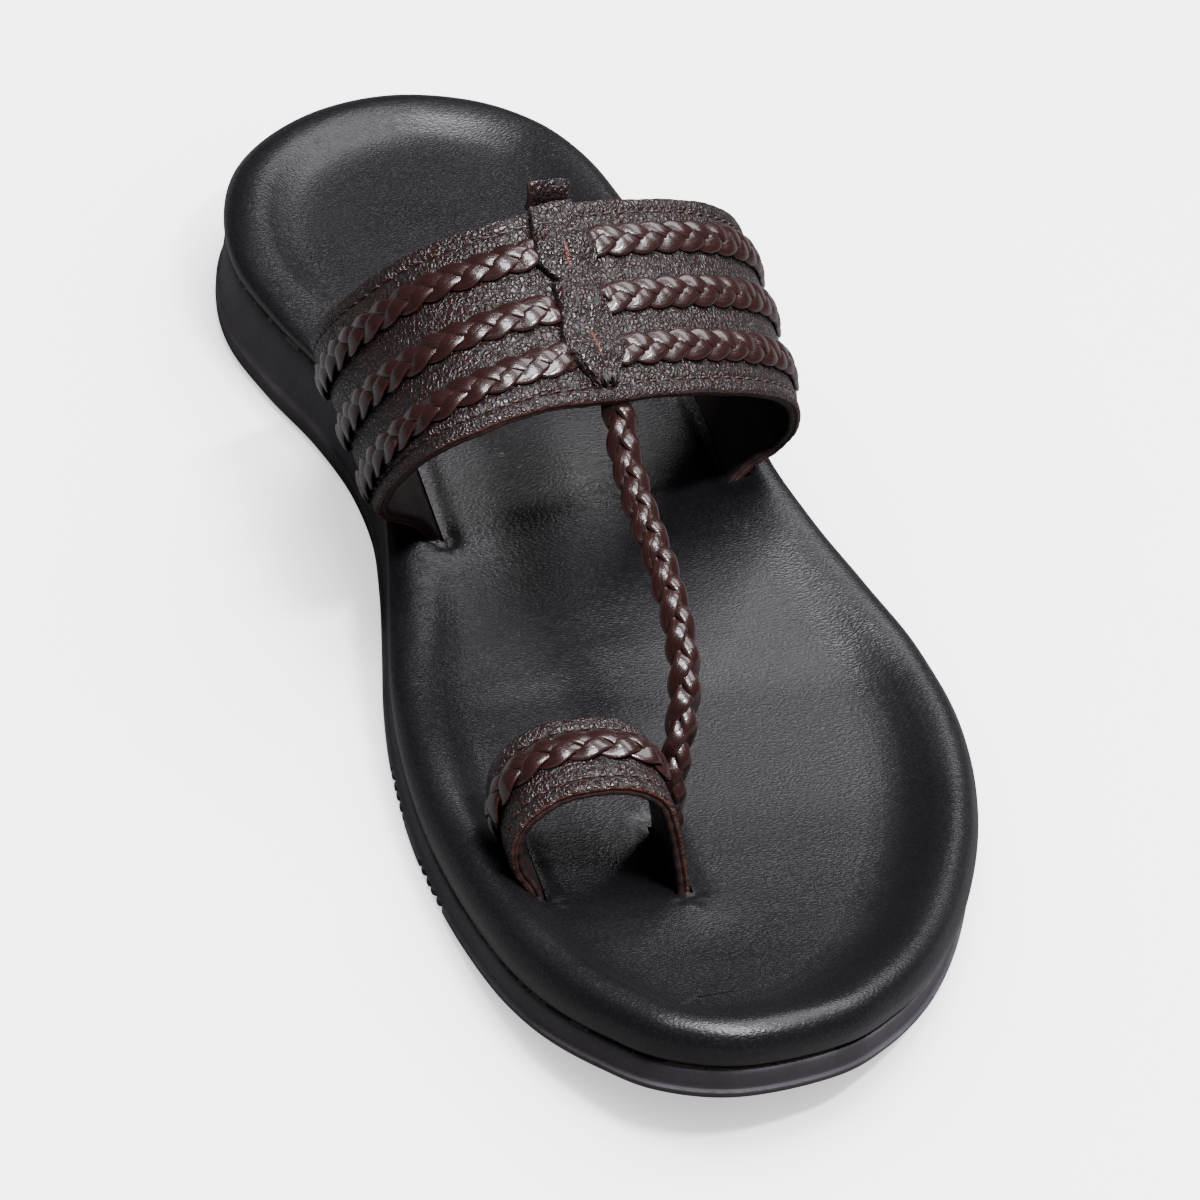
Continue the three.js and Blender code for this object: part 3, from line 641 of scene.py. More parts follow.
def strap_body(face, rows, width, columns, seed):
    """Sections of a strap, where each point lies on the flat leather, and the sides' materials."""
    section, looks = strap_section(width, columns)
    length = length_along(face, rows)
    place, lift = section[:, 0], section[:, 1]
    on_face = lift > -0.05
    near_edge = np.clip(1 - np.minimum(place, width - place) / CUT_REACH, 0, 1)
    side = np.where(place < width / 2, -1.0, 1.0)
    moved = place[None, :] + side * near_edge * ripple(length[:, None], HAND_CUT, seed + side)
    soft = np.sin(length[:, None] * STRAP_WAVE["along"] + place * STRAP_WAVE["slant"] + seed)
    soft *= STRAP_WAVE["height"] * np.sin(place * STRAP_WAVE["across"] + 1.3 * seed)
    height = lift + on_face * (soft * (1 - near_edge) - stitch_dip(place, width))
    row_grid = np.broadcast_to(rows[:, None], moved.shape)
    points = lifted(face, moved / width, row_grid, height)
    flat = np.stack((np.broadcast_to(length[:, None], moved.shape), moved,
                     np.broadcast_to(lift, moved.shape)), -1)
    return points, flat, looks


def sewing(face, rows, across, start, stop, width):
    """A row of stitches along a face: short threads that bend down into the leather at their ends."""
    table = np.linspace(rows[0], rows[-1], 400)
    length = length_along(face, table)
    sides, rings = 6, 7
    points, faces = [], []
    turn = 2 * math.pi * np.arange(sides) / sides
    run = np.linspace(-0.5, 0.5, rings)
    for middle in np.arange(start, stop, STITCH["pitch"]):
        run_length = middle + run * STITCH["length"]
        run_rows = np.interp(run_length, length, table)
        point, normal, over = face_frame(face, np.full(rings, across / width), run_rows)
        near_end = (2 * np.abs(run)) ** 4
        sink = STITCH_GROOVE["depth"] + STITCH_DIVE["ends"] * near_end - STITCH_DIVE["proud"]
        thick = STITCH["thread"] / 2 * (1 - STITCH_DIVE["thinner"] * near_end)
        centre = point - normal * sink[:, None]
        flat = over[:, None] * np.cos(turn)[None, :, None] * STITCH["flatness"]
        ring = centre[:, None] + thick[:, None, None] * (flat + normal[:, None] * np.sin(turn)[None, :, None])
        first = len(points) * rings * sides
        faces += [[corner + first for corner in face_ids] for face_ids in tube_faces(rings, sides)]
        points.append(ring)
    return np.concatenate(points).reshape(-1, 3), faces


# Pebbled goat grain, drawn on the flat leather: small pillows, longer across the strap
goat_effect, goat_in, goat_out = new_effect(
    "goat grain", (("Place", "Vector", (0, 0, 0)), ("Pebble", "Float", 0.75), ("Stretch", "Float", 1.5)),
    (("Height", "Float"), ("Crease", "Float"), ("Tone", "Float")))
goat_along = maths(goat_effect, "DIVIDE", 1.0, goat_in["Pebble"])
goat_across = maths(goat_effect, "DIVIDE", goat_along, goat_in["Stretch"])
goat_scaled, goat_pillow = grain_cells(goat_effect, goat_in["Place"], goat_along, goat_across,
                                       sway=0.9, push=1.1, dome=0.26)
goat_fine = noise(goat_effect, goat_scaled, 1.7, 4.0, Roughness=0.6)
goat_effect.links.new(maths(goat_effect, "MULTIPLY_ADD", goat_fine, 0.45, goat_pillow), goat_out["Height"])
goat_effect.links.new(goat_pillow, goat_out["Crease"])
goat_effect.links.new(noise(goat_effect, goat_in["Place"], 0.12, 5.0), goat_out["Tone"])

goat_leather, tree, shader = new_look("pebbled goat leather")
grain = placed(tree, goat_effect, Place=flat_place(tree), Pebble=0.8, Stretch=1.4)
rub = placed(tree, rub_effect, Edge_Start=0.56, Edge_End=0.7, Patch_Size=14.0)
goat_base = mixed(tree, grain["Tone"], dye(36, 22, 21), dye(52, 32, 30))
# The creases between the pebbles are darkened to near black: painted shade in the creases.
goat_painted_crease_shade = mixed(tree, ranged(tree, grain["Crease"], 0.1, 0.8), dye(7, 4, 4), goat_base)
goat_depth = node(tree, "SeparateXYZ", (("Vector", flat_place(tree)),)).outputs["Z"]
goat_worn = mixed(tree, rub["Worn"], goat_painted_crease_shade, dye(82, 50, 44))
dress(tree, shader, mixed(tree, ranged(tree, goat_depth, -0.15, -0.7), goat_worn, dye(104, 62, 54)),
      ranged(tree, grain["Crease"], 0.1, 0.7, 0.6, 0.23),
      bumped(tree, grain["Height"], 0.00017, Strength=1.0))
shader.inputs["Specular IOR Level"].default_value = 0.62

lining_leather, tree, shader = new_look("smooth lining")
lining_hair = noise(tree, flat_place(tree), 1.4, 5.0)
dress(tree, shader, mixed(tree, lining_hair, dye(24, 17, 16), dye(40, 28, 25)),
      ranged(tree, lining_hair, 0.3, 0.7, 0.5, 0.66), bumped(tree, lining_hair, 0.00008))

# The raw edge shows both layers, with a pale line of glue between them
raw_edge, tree, shader = new_look("raw cut edge")
edge_lift = node(tree, "SeparateXYZ", (("Vector", flat_place(tree)),)).outputs["Z"]
edge_fibre = noise(tree, flat_place(tree), 5.0, 4.0)
edge_red = mixed(tree, ranged(tree, edge_fibre, 0.35, 0.65), dye(34, 20, 19), dye(64, 41, 38))
edge_off = maths(tree, "ABSOLUTE", maths(tree, "SUBTRACT", edge_lift, GLUE_LINE))
dress(tree, shader, mixed(tree, ranged(tree, edge_off, 0.12, 0.02), edge_red, dye(98, 74, 70)),
      ranged(tree, edge_fibre, 0.3, 0.7, 0.6, 0.85), bumped(tree, edge_fibre, 0.0001))

thread_look, tree, shader = new_look("waxed thread")
thread_twist = noise(tree, node(tree, "TexCoord").outputs["Object"], 4200.0, 2.0)
tree.links.new(mixed(tree, thread_twist, dye(22, 13, 12), dye(70, 46, 42)), shader.inputs["Base Color"])
tree.links.new(ranged(tree, thread_twist, 0.3, 0.7, 0.35, 0.55), shader.inputs["Roughness"])

strap_looks = [goat_leather, lining_leather, raw_edge]


def strap_faces(points, sides):
    """Faces of a strap's body and the material of each."""
    rings, around = points.shape[:2]
    looks = np.tile(sides, rings - 1).tolist() + [2, 2]
    return tube_faces(rings, around), looks


def make_strap(name, face, rows, width, columns, seed):
    """A strap as one piece: its face, its lining and its raw edges."""
    points, place, sides = strap_body(face, rows, width, columns, seed)
    quads, looks = strap_faces(points, sides)
    return make_piece(name, points, quads, strap_looks, looks, place)


def sew_strap(name, face, rows, width, bare_end):
    """A row of stitches along both edges of a strap, stopped short of its ends."""
    stop = length_along(face, rows)[-1] - bare_end
    for edge_name, across in (("rear", STITCH["inset"]), ("front", width - STITCH["inset"])):
        points, faces = sewing(face, rows, across, bare_end, stop, width)
        stitches = make_piece(name + "_stitches_" + edge_name, points, faces, [thread_look])
        fit_piece(stitches, "strap")


vamp_rows = np.linspace(0, VAMP_ROWS, VAMP_ROWS * STRAP_STEPS + 1)
vamp = make_strap("vamp_strap", vamp_face, vamp_rows, VAMP_WIDTH, columns=34, seed=0.4)
fit_piece(vamp, "strap", "upper")
sew_strap("vamp", vamp_face, vamp_rows, VAMP_WIDTH, bare_end=9.0)

# ======== TOE LOOP ========
# A narrow band of the same lined and sewn leather, over the big toe from a slit
# by its inner side to a post beside the second toe.

LOOP_EDGES = {"rear": -67.6, "front": -86.0}
LOOP_WIDTH = LOOP_EDGES["rear"] - LOOP_EDGES["front"]

# The band's outer face from its inner leg over to the post: (x, z)
LOOP_ARCH = (
    (-34.6, 8.3), (-36.0, 12.4), (-39.2, 17.4), (-40.5, 23.7), (-38.5, 30.2), (-33.0, 34.7),
    (-25.5, 36.2), (-18.0, 35.2), (-13.3, 31.7), (-10.5, 25.2), (-8.3, 17.7), (-6.9, 12.0), (-6.5, 8.3),
)
LOOP_ROWS = len(LOOP_ARCH) - 1

loop_arch = smooth_line([(x, 0.0, z) for x, z in LOOP_ARCH])


def loop_face(across, row):
    """The band's outer face: across is 0 at its rear edge and 1 at its front one."""
    point = loop_arch(row).copy()
    point[..., 1] = LOOP_EDGES["rear"] - LOOP_WIDTH * np.asarray(across, float)
    return point


loop_rows = np.linspace(0, LOOP_ROWS, LOOP_ROWS * STRAP_STEPS + 1)
toe_loop = make_strap("toe_loop", loop_face, loop_rows, LOOP_WIDTH, columns=12, seed=1.9)
fit_piece(toe_loop, "strap")
sew_strap("toe_loop", loop_face, loop_rows, LOOP_WIDTH, bare_end=7.0)

# Both straps' ends are cut out of the pad, a little larger, and the pad is made
cutters = []
for face, width, rows_past, rows_inside, last_row in (
        (vamp_face, 46.0, 0.7, 2.4, VAMP_ROWS), (loop_face, LOOP_WIDTH, 0.8, 2.4, LOOP_ROWS)):
    grow = SLOT_CLEARANCE / width
    corners = ((-grow, SLOT_CLEARANCE), (1 + grow, SLOT_CLEARANCE),
               (1 + grow, -STRAP_WALL - SLOT_CLEARANCE), (-grow, -STRAP_WALL - SLOT_CLEARANCE))
    for first, last in ((-rows_past, rows_inside), (last_row - rows_inside, last_row + rows_past)):
        rows = np.linspace(first, last, 12)
        ring = [lifted(face, np.full(12, across), rows, np.full(12, lift)) for across, lift in corners]
        cutter = make_piece("slot_cutter", np.stack(ring, 1), tube_faces(12, 4), [], merge=0.001)
        cutters.append(cutter)
footbed = make_piece("padded_footbed", pad_loops, tube_faces(*pad_loops.shape[:2]), [leatherette],
                     merge=0.002)
for cutter in cutters:
    cut = footbed.modifiers.new("slot", "BOOLEAN")
    cut.operation = "DIFFERENCE"
    cut.solver = "EXACT"
    cut.object = cutter
slit_pad = bpy.data.meshes.new_from_object(footbed.evaluated_get(bpy.context.evaluated_depsgraph_get()))
footbed.modifiers.clear()
footbed.data = slit_pad
slit_pad.shade_smooth()
slit_pad.set_sharp_from_angle(angle=math.radians(50))
for cutter in cutters:
    bpy.data.objects.remove(cutter)
fit_piece(footbed, "footbed", "footbed")

# ======== FLAT BRAIDS ========
# Three-strand braids of glossy narrow leather strips, glued across the vamp in
# three rows. Each runs from one side of the strap to the other under the two
# patches in the middle. A seventh, with longer turns, lies over the toe loop.

BRAID_LIFT = 0.9  # middle of the braid over the leather
BRAID_END = {"drop": 0.5, "full": 0.45, "curve": 0.6}  # how far its thinned ends sink, how full they are
BRAID_TUCK = {"inner": (1.2, 5.0), "outer": (5.0, 1.2)}  # millimetres over which each end thins
BRAID_SHIFT = {"row": 0.9, "outer": 0.6}  # so that no two braids show the same leaf at the patches
BRAID_STEP = 0.42
BRAID_ENDS = {"inner": 2.6, "outer": 13.6}  # rows of the vamp
SPINE_HALF_ROWS = 0.34
BRAID_GAP_ROWS = 0.012
BRAIDS = (  # name, then its place across the strap at its inner end, at the spine and its outer end
    ("rear", 0.25, 0.22, 0.19), ("mid", 0.565, 0.51, 0.46), ("front", 0.87, 0.77, 0.78),
)
FLAT_PLAIT = {"sway": 1.45, "rise": 0.36, "turn": 15.6, "strip": 3.2, "thick": 0.85, "roll": 0.16}
TOE_PLAIT = {"sway": 1.6, "rise": 0.44, "turn": 16.5, "strip": 3.35, "thick": 0.95, "roll": 0.22}
TOE_BRAID = {"rows": (8.5, 1.9), "across": 0.44, "start": 0.4, "tuck": (3.0, 6.0)}
STRIP_SIDES = 14
STRIP_SECTION = {"wide": 0.85, "tall": 0.9}  # below 1 is squarer than an oval
STRIP_THIN = {"wide": 0.35, "tall": 0.55}  # what is left of a strip where the plait has no fullness
STRIP_SPACING = 20.0  # between the strips on the flat leather, so that their grain differs
STRIP_PULL = ((0.07, 0.41, 2.3), (0.05, 0.97, 1.0))  # how unevenly the strips were pulled
SWING_FULLNESS = 1.08  # makes up for what the flatter turns take off the swing


def plait(middle, side, up, kind, taper, start=0.0):
    """Three strips plaited round a line. Each swings from side to side and passes over the others
    on its way out. taper is how full the plait is along the line, from 0 to 1."""
    length = line_length(middle)
    around = 2 * math.pi * np.arange(STRIP_SIDES) / STRIP_SIDES
    wide = np.sign(np.cos(around)) * np.abs(np.cos(around)) ** STRIP_SECTION["wide"]
    tall = np.sign(np.sin(around)) * np.abs(np.sin(around)) ** STRIP_SECTION["tall"]
    points, places, faces = [], [], []
    for strand in range(3):
        angle = 2 * math.pi * (length / kind["turn"] + strand / 3) + start
        hand = 1 + ripple(length, STRIP_PULL, strand)
        swing = kind["sway"] * taper * SWING_FULLNESS * (np.sin(angle) - np.sin(3 * angle) / 12)
        height = kind["rise"] * taper * hand * np.sin(2 * angle)
        line = middle + side * swing[:, None] + up * height[:, None]
        tangent = unit(np.gradient(line, axis=0))
        tilt = kind["roll"] * np.sin(angle)
        crown = up * np.cos(tilt)[:, None] + side * np.sin(tilt)[:, None]
        over = unit(np.cross(crown, tangent))
        crown = np.cross(tangent, over)
        half_wide = kind["strip"] / 2 * (STRIP_THIN["wide"] + (1 - STRIP_THIN["wide"]) * taper) * hand
        half_tall = kind["thick"] / 2 * (STRIP_THIN["tall"] + (1 - STRIP_THIN["tall"]) * taper)
        ring = (line[:, None] + over[:, None] * (half_wide[:, None] * wide)[..., None]
                + crown[:, None] * (half_tall[:, None] * tall)[..., None])
        first = strand * len(middle) * STRIP_SIDES
        faces += [[corner + first for corner in face] for face in tube_faces(len(middle), STRIP_SIDES)]
        points.append(ring.reshape(-1, 3))
        flat = np.stack((np.broadcast_to(length[:, None], ring.shape[:2]),
                         half_wide[:, None] * wide + STRIP_SPACING * strand,
                         half_tall[:, None] * tall), -1)
        places.append(flat.reshape(-1, 3))
    return np.concatenate(points), faces, np.concatenate(places)


def plait_on_face(name, face, rows, across, kind, start, tuck):
    """A flat braid lying on a strap from one row to another. tuck thins it at each end, by
    millimetres."""
    table = np.linspace(rows[0], rows[1], 300)
    length = line_length(face(across(table), table))
    even = np.linspace(0, length[-1], int(length[-1] / BRAID_STEP) + 1)
    even_rows = np.interp(even, length, table)
    point, normal = face_frame(face, across(even_rows), even_rows)[:2]
    side = np.cross(normal, unit(np.gradient(point, axis=0)))
    near_end = np.minimum(even / tuck[0], (length[-1] - even) / tuck[1])
    taper = np.clip(near_end, 0.0, 1.0) ** BRAID_END["curve"]
    middle = point + normal * (BRAID_LIFT - BRAID_END["drop"] * (1 - taper))[:, None]
    fullness = BRAID_END["full"] + (1 - BRAID_END["full"]) * taper
    points, faces, places = plait(middle, side, normal, kind, fullness, start)
    return make_piece(name, points, faces, [braid_leather], place=places)


braid_leather, tree, shader = new_look("glossy braid leather")
strip_place = flat_place(tree)
strip_long = node(tree, "VectorMath", ((0, strip_place), (1, (0.35, 2.6, 2.6))), operation="MULTIPLY")
strip_lines = noise(tree, strip_long.outputs[0], 1.0, 4.0)
strip_grain = placed(tree, goat_effect, Place=strip_place, Pebble=0.5, Stretch=1.0)
strip_rub = placed(tree, rub_effect, Edge_Start=0.53, Edge_End=0.64, Patch_Size=7.0)
strip_base = mixed(tree, strip_lines, dye(36, 21, 20), dye(48, 29, 28))
strip_fine = bumped(tree, strip_grain["Height"], 0.00002, Strength=0.6)
dress(tree, shader, mixed(tree, strip_rub["Worn"], strip_base, dye(82, 54, 50)),
      ranged(tree, strip_lines, 0.3, 0.7, 0.24, 0.34), bumped(tree, strip_lines, 0.00007, Normal=strip_fine))
shader.inputs["Specular IOR Level"].default_value = 0.45
shader.inputs["Coat Weight"].default_value = 0.45
shader.inputs["Coat Roughness"].default_value = 0.07

for number, (braid_name, inner, spine, outer) in enumerate(BRAIDS):
    for end_name, end_place in (("inner", inner), ("outer", outer)):
        end_row = BRAID_ENDS[end_name]
        sign = -1 if end_name == "inner" else 1
        near_row = SPINE_ROW + sign * (SPINE_HALF_ROWS + BRAID_GAP_ROWS)

        def across(row, from_place=spine, to_place=end_place, to_row=end_row):
            share = np.abs(row - SPINE_ROW) / abs(to_row - SPINE_ROW)
            return from_place * (1 - share) + to_place * share

        # The strips lap towards the foot's inner side on both halves
        rows = (near_row, end_row) if end_name == "inner" else (end_row, near_row)
        name = "braid_" + braid_name + "_" + end_name
        start = BRAID_SHIFT["row"] * number + (BRAID_SHIFT["outer"] if end_name == "outer" else 0.0)
        piece = plait_on_face(name + "_plait", vamp_face, rows, across, FLAT_PLAIT, start,
                              BRAID_TUCK[end_name])
        fit_piece(piece, "braid", name)


def toe_across(row):
    return np.full_like(row, TOE_BRAID["across"])


toe_braid = plait_on_face("braid_toe_plait", loop_face, TOE_BRAID["rows"], toe_across, TOE_PLAIT,
                          TOE_BRAID["start"], TOE_BRAID["tuck"])
fit_piece(toe_braid, "braid", "braid_toe")

# ======== THONG ========
# A thicker, rounder three-strand plait of the same strips. It comes out from
# under the vamp's front edge and runs down to the toe post, where its ends are
# skived thin and glued along the post's outer side.

CORD_PATH = (
    (-9.0, -4.1, 60.8), (-7.2, -10.8, 57.6), (-7.2, -19.0, 53.5), (-6.8, -30.1, 50.7),
    (-5.8, -42.6, 47.6), (-5.2, -54.7, 43.4), (-6.0, -64.4, 37.4), (-7.9, -70.8, 30.6),
    (-8.6, -74.6, 23.6), (-7.4, -75.4, 16.6),
)
THONG_PLAIT = {"sway": 1.35, "rise": 0.9, "turn": 18.6, "strip": 3.2, "thick": 1.5, "roll": 0.45}
CORD_SIDEWAYS = np.array([1.0, 0.12, 0.0])
THONG_SKIVE = {"start": 16.0, "left": 0.3, "curve": 0.7}  # from its lower end, what is left there

cord_line = smooth_line(CORD_PATH)
cord_table = cord_line(np.linspace(0, len(CORD_PATH) - 1, 600))
cord_length = line_length(cord_table)
cord_even = np.linspace(0, cord_length[-1], int(cord_length[-1] / BRAID_STEP) + 1)
cord_middle = np.stack([np.interp(cord_even, cord_length, cord_table[:, k]) for k in range(3)], 1)
cord_tangent = unit(np.gradient(cord_middle, axis=0))
cord_side = unit(CORD_SIDEWAYS - cord_tangent * (cord_tangent @ CORD_SIDEWAYS)[:, None])
cord_up = np.cross(cord_tangent, cord_side)
cord_up *= np.sign(cord_up[:, 2])[:, None]
from_end = cord_length[-1] - cord_even
cord_taper = np.clip(from_end / THONG_SKIVE["start"], 0, 1) ** THONG_SKIVE["curve"]
cord_taper = THONG_SKIVE["left"] + (1 - THONG_SKIVE["left"]) * cord_taper
cord_points, cord_faces, cord_place = plait(cord_middle, cord_side, cord_up, THONG_PLAIT, cord_taper)
thong = make_piece("plaited_thong", cord_points, cord_faces, [braid_leather], place=cord_place)
fit_piece(thong, "braid")

# ======== SPINE PATCHES ========
# Two pieces of the pebbled leather glued down the middle of the vamp over the
# ends of the braids. They swell over the braids, and their ends are snipped into
# ragged points with a short slit in the middle.

PATCH_LIFT = 0.3
PATCH_ROW_LENGTH = 14.0  # millimetres between rows of the vamp there
PATCHES = (  # name, where it starts and ends across the vamp, its lean towards the outer side
    ("upper", 0.0, 0.43, 0.6),
    ("lower", 0.4, 0.93, 1.2),
)
PATCH_SHAPE = (  # share of its length, half width
    (0.0, 4.3), (0.2, 4.9), (0.38, 5.7), (0.52, 6.4), (0.64, 6.5), (0.76, 5.6), (0.88, 4.0), (1.0, 2.4),
)
PATCH_LEATHER = 0.7
PATCH_EDGE = {"thick": 0.3, "round": 0.7}
PATCH_SWELL = {"height": 1.3, "reach": 0.085}
PATCH_SLIT = {"depth": 0.6, "across": -0.05, "width": 0.05, "middle": 0.62, "length": 0.13}
PATCH_SNIPS = ((0.4, 37.0, 1.0), (0.25, 61.0, 2.0))  # along its sides
PATCH_RAGS = ((0.012, 9.0, 1.0), (0.008, 21.0, 2.0))  # along its end


def patch_body(start, stop, lean, seed):
    """A patch as sections along its length, each a loop over its face and back underneath."""
    rings, columns = 110, 48
    table = np.array(PATCH_SHAPE)
    turn = np.linspace(-1, 1, columns + 1)
    loops, places = [], []
    for share in np.linspace(0, 1, rings):
        half = float(smooth_line([(width, 0.0) for _, width in PATCH_SHAPE])(
            np.interp(share, table[:, 0], np.arange(len(table))))[0])
        half += (0.1 + 0.75 * max(0.0, share - 0.45)) * ripple(share, PATCH_SNIPS, seed)
        across = start + (stop - start) * share + ripple(turn, PATCH_RAGS, seed) * share
        slit = np.exp(-(((turn - PATCH_SLIT["across"]) / PATCH_SLIT["width"]) ** 2))
        slit *= np.exp(-(((share - PATCH_SLIT["middle"]) / PATCH_SLIT["length"]) ** 4))
        edge = np.minimum((1 - np.abs(turn)) * half, (1 - share) * VAMP_WIDTH * (stop - start))
        edge = np.clip(edge / PATCH_EDGE["round"], 0, 1)
        rounded = np.sqrt(np.clip(1 - (1 - edge) ** 2, 0, 1))
        swell = sum(np.exp(-(((across - spine) / PATCH_SWELL["reach"]) ** 2)) for _, _, spine, _ in BRAIDS)
        swell = np.clip(swell, 0, 1) * PATCH_SWELL["height"] * (1 - np.abs(turn) ** 4)
        wrinkle = 0.07 * np.sin(5.0 * turn + 17 * across + seed) + 0.03 * np.sin(11.0 * turn - 25 * across)
        under = PATCH_LIFT + swell + 0.5 * wrinkle
        top = under + PATCH_EDGE["thick"] + rounded * (PATCH_LEATHER + wrinkle) - PATCH_SLIT["depth"] * slit
        row = SPINE_ROW + (turn * half + lean * share) / PATCH_ROW_LENGTH
        upper = lifted(vamp_face, across, row, top)
        lower = lifted(vamp_face, across, row, under)
        loops.append(np.concatenate((upper, lower[::-1])))
        flat = np.stack((turn * half, across * VAMP_WIDTH, -slit), 1)
        below = np.stack((turn * half, across * VAMP_WIDTH, 0 * top - 1.0), 1)
        places.append(np.concatenate((flat, below[::-1])))
    loops = np.stack(loops)
    return loops, np.stack(places), tube_faces(*loops.shape[:2])


for patch_number, (name, start, stop, lean) in enumerate(PATCHES):
    patch_points, patch_place, patch_faces = patch_body(start, stop, lean, 1.3 + patch_number)
    patch = make_piece("spine_patch_" + name, patch_points, patch_faces, [goat_leather], place=patch_place)
    fit_piece(patch, "strap", "spine_" + name)

# ======== EAR ========
# A short stub of the upper patch's leather, folded up at the vamp's rear edge
# and curled over at its top, with its cut edges showing.

EAR = {"half_width": 4.2, "height": 4.9, "thick": 1.5, "narrowing": 0.12, "flat_width": 8.2}
EAR_CURL = {"back": 1.0, "over": 1.9, "ripple": 0.12, "slope": 1.4, "corner": 1.3, "droop": 0.08}
EAR_CORNERS = {"outer": 0.28, "inner": 0.15}  # how much of its width each rounded corner takes
ear_low, ear_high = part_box("ear_tab")
ear_x = (ear_low.x + ear_high.x) / 2 / METRES - centring
ear_y = (ear_low.y + ear_high.y) / 2 / METRES
ear_z = ear_low.z / METRES
ear_edge = vamp_face(0, SPINE_ROW)


def ear_face(across, row):
    across, row = np.broadcast_arrays(np.asarray(across, float), np.asarray(row, float))
    beside = 2 * EAR["half_width"] * (across - 0.5)
    x = ear_x + beside * (1 - EAR["narrowing"] * row) + EAR_CURL["ripple"] * np.sin(5 * row + 3 * across)
    edge = vamp_face(0, SPINE_ROW + beside / PATCH_ROW_LENGTH) - ear_edge
    y = ear_y + edge[..., 1] + EAR["thick"] / 2 - EAR_CURL["back"] * row + EAR_CURL["over"] * row**2
    corner = np.clip(1 - (1 - across) / EAR_CORNERS["outer"], 0, 1) ** 2
    corner += 0.5 * np.clip(1 - across / EAR_CORNERS["inner"], 0, 1) ** 2
    rise = EAR["height"] - EAR_CURL["slope"] * across - EAR_CURL["corner"] * corner
    z = ear_z + edge[..., 2] + rise * (row - EAR_CURL["droop"] * row**3)
    return np.stack((x, y, z), -1)


# Its section as (share across, lift): the face, an edge, the back and the other edge
ear_section = [(place, 0.0) for place in np.linspace(0.05, 0.95, 24)]
ear_section += [(0.985, -0.25), (1.0, -0.75), (0.985, -1.25)]
ear_section += [(place, -EAR["thick"]) for place in np.linspace(0.95, 0.05, 12)]
ear_section += [(0.015, -1.25), (0.0, -0.75), (0.015, -0.25)]
ear_section = np.array(ear_section)
ear_sides = [0] * 23 + [2] * 4 + [1] * 11 + [2] * 4
ear_rows = np.linspace(0, 1, 40)
ear_across, ear_along = np.meshgrid(ear_section[:, 0], ear_rows)
ear_lift = np.broadcast_to(ear_section[:, 1], ear_across.shape)
ear_points = lifted(ear_face, ear_across, ear_along, ear_lift + EAR["thick"])
ear_place = np.stack((ear_across * EAR["flat_width"], ear_along * EAR["height"], ear_lift), -1)
ear_quads, ear_looks = strap_faces(ear_points, np.array(ear_sides))
ear = make_piece("ear_stub", ear_points, ear_quads, strap_looks, ear_looks, ear_place)
fit_piece(ear, "strap", "ear_tab")

# ======== FLOOR, LIGHT AND CAMERA ========
# A pale seamless floor with a contact shadow painted into its glow, a soft light overhead,
# a broad one from the outer side behind, two small ones for glints, and a camera at the toe and inner side.

FLOOR_SIZE = 12.0
floor_look, tree, shader = new_look("pale floor")
floor_noise = noise(tree, node(tree, "TexCoord").outputs["Object"], 3.0, 3.0)
floor_seen = node(tree, "LightPath").outputs["Is Camera Ray"]
floor_dim = mixed(tree, floor_noise, (0.14, 0.14, 0.14, 1), (0.15, 0.15, 0.15, 1))
floor_pale = mixed(tree, floor_noise, (0.9, 0.89, 0.905, 1), (0.91, 0.905, 0.915, 1))
tree.links.new(mixed(tree, floor_seen, floor_dim, floor_pale), shader.inputs["Base Color"])
shader.inputs["Roughness"].default_value = 0.9
shader.inputs["Specular IOR Level"].default_value = 0.1
shader.inputs["Emission Color"].default_value = (1.0, 0.995, 1.0, 1)
# For the camera the floor glows, and its glow is dimmed where ambient occlusion finds the shoe near: a
# painted contact shadow round the shoe.
floor_open = node(tree, "AmbientOcclusion", (("Distance", 0.09),), samples=8).outputs["AO"]
floor_glow_with_painted_shadow = maths(tree, "MULTIPLY", ranged(tree, floor_open, 0.2, 1.0, 0.7, 2.75), floor_seen)
tree.links.new(floor_glow_with_painted_shadow, shader.inputs["Emission Strength"])
floor_mesh = bpy.data.meshes.new("floor")
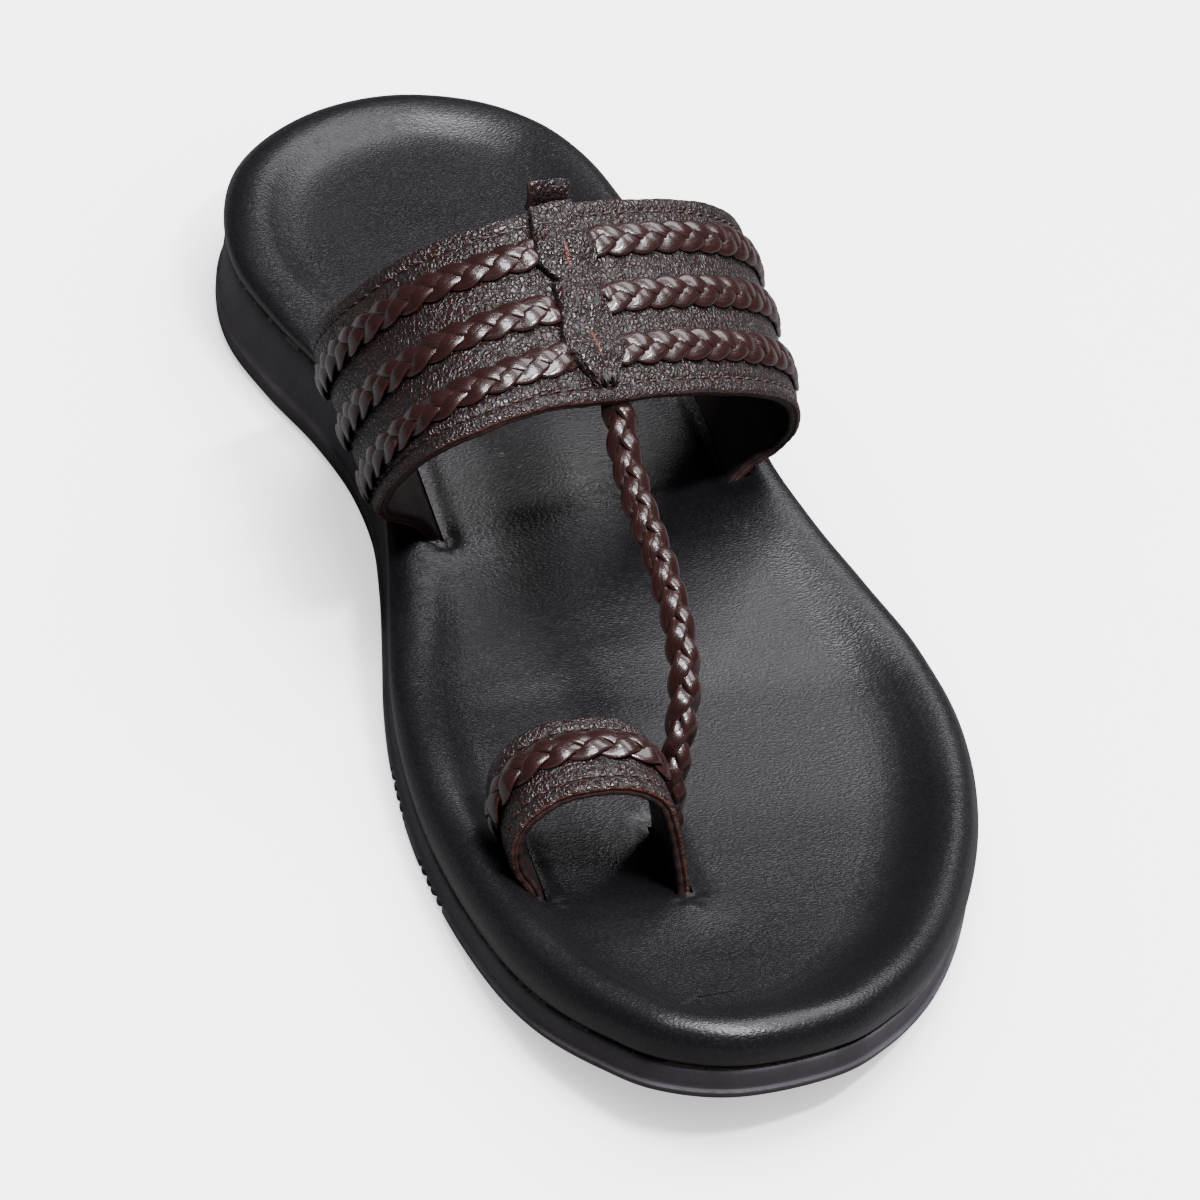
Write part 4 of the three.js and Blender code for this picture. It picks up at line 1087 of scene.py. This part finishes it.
floor_mesh.from_pydata([(x * FLOOR_SIZE, y * FLOOR_SIZE, 0) for x, y in ((-1, -1), (1, -1), (1, 1), (-1, 1))],
                       [], [(0, 1, 2, 3)])
floor_mesh.materials.append(floor_look)
floor = add_object("floor", floor_mesh)
floor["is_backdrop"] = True

whole_low, whole_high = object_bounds()
shoe_middle = (whole_low + whole_high) / 2

room = bpy.data.worlds.new("soft room")
room.use_nodes = True
room_light = room.node_tree.nodes["Background"].inputs
room_light["Color"].default_value = (1.0, 1.0, 1.0, 1)
room_light["Strength"].default_value = 0.07
bpy.context.scene.world = room

LAMPS = (  # name, where it hangs from the shoe's middle, its width and length, watts
    ("overhead", (0.0, -0.08, 1.4), 0.7, 0.45, 26.0),
    ("side_sheen", (0.7, 0.5, 0.95), 0.9, 0.4, 9.0),
    ("strap_glint", (0.06, 0.3, 1.2), 0.2, 0.06, 3.5),
    ("toe_glint", (0.26, -0.5, 1.15), 0.35, 0.07, 22.0),
)
for name, offset, width, length, watts in LAMPS:
    lamp = bpy.data.lights.new(name, "AREA")
    lamp.shape = "RECTANGLE"
    lamp.size = width
    lamp.size_y = length
    lamp.energy = watts
    lamp.color = (1.0, 0.97, 1.0)
    hung = add_object(name, lamp)
    hung.location = shoe_middle + Vector(offset)
    hung.rotation_euler = (-Vector(offset)).to_track_quat("-Z", "Y").to_euler()

CAMERA = {"azimuth": -20.2, "elevation": 38.27, "distance": 1.130, "roll": 9.73, "lens": 190.0}
CAMERA_AIM = Vector((-0.0077, -0.0180, -0.0204))  # from the shoe's middle
azimuth = math.radians(CAMERA["azimuth"])
elevation = math.radians(CAMERA["elevation"])
towards = Vector((math.sin(azimuth) * math.cos(elevation), -math.cos(azimuth) * math.cos(elevation),
                  math.sin(elevation)))
eye = bpy.data.cameras.new("eye")
eye.lens = CAMERA["lens"]
camera = add_object("eye", eye)
camera.location = shoe_middle + CAMERA_AIM + towards * CAMERA["distance"]
level = towards.to_track_quat("Z", "Y")
camera.rotation_euler = (level @ Quaternion((0, 0, 1), math.radians(CAMERA["roll"]))).to_euler()
bpy.context.scene.camera = camera
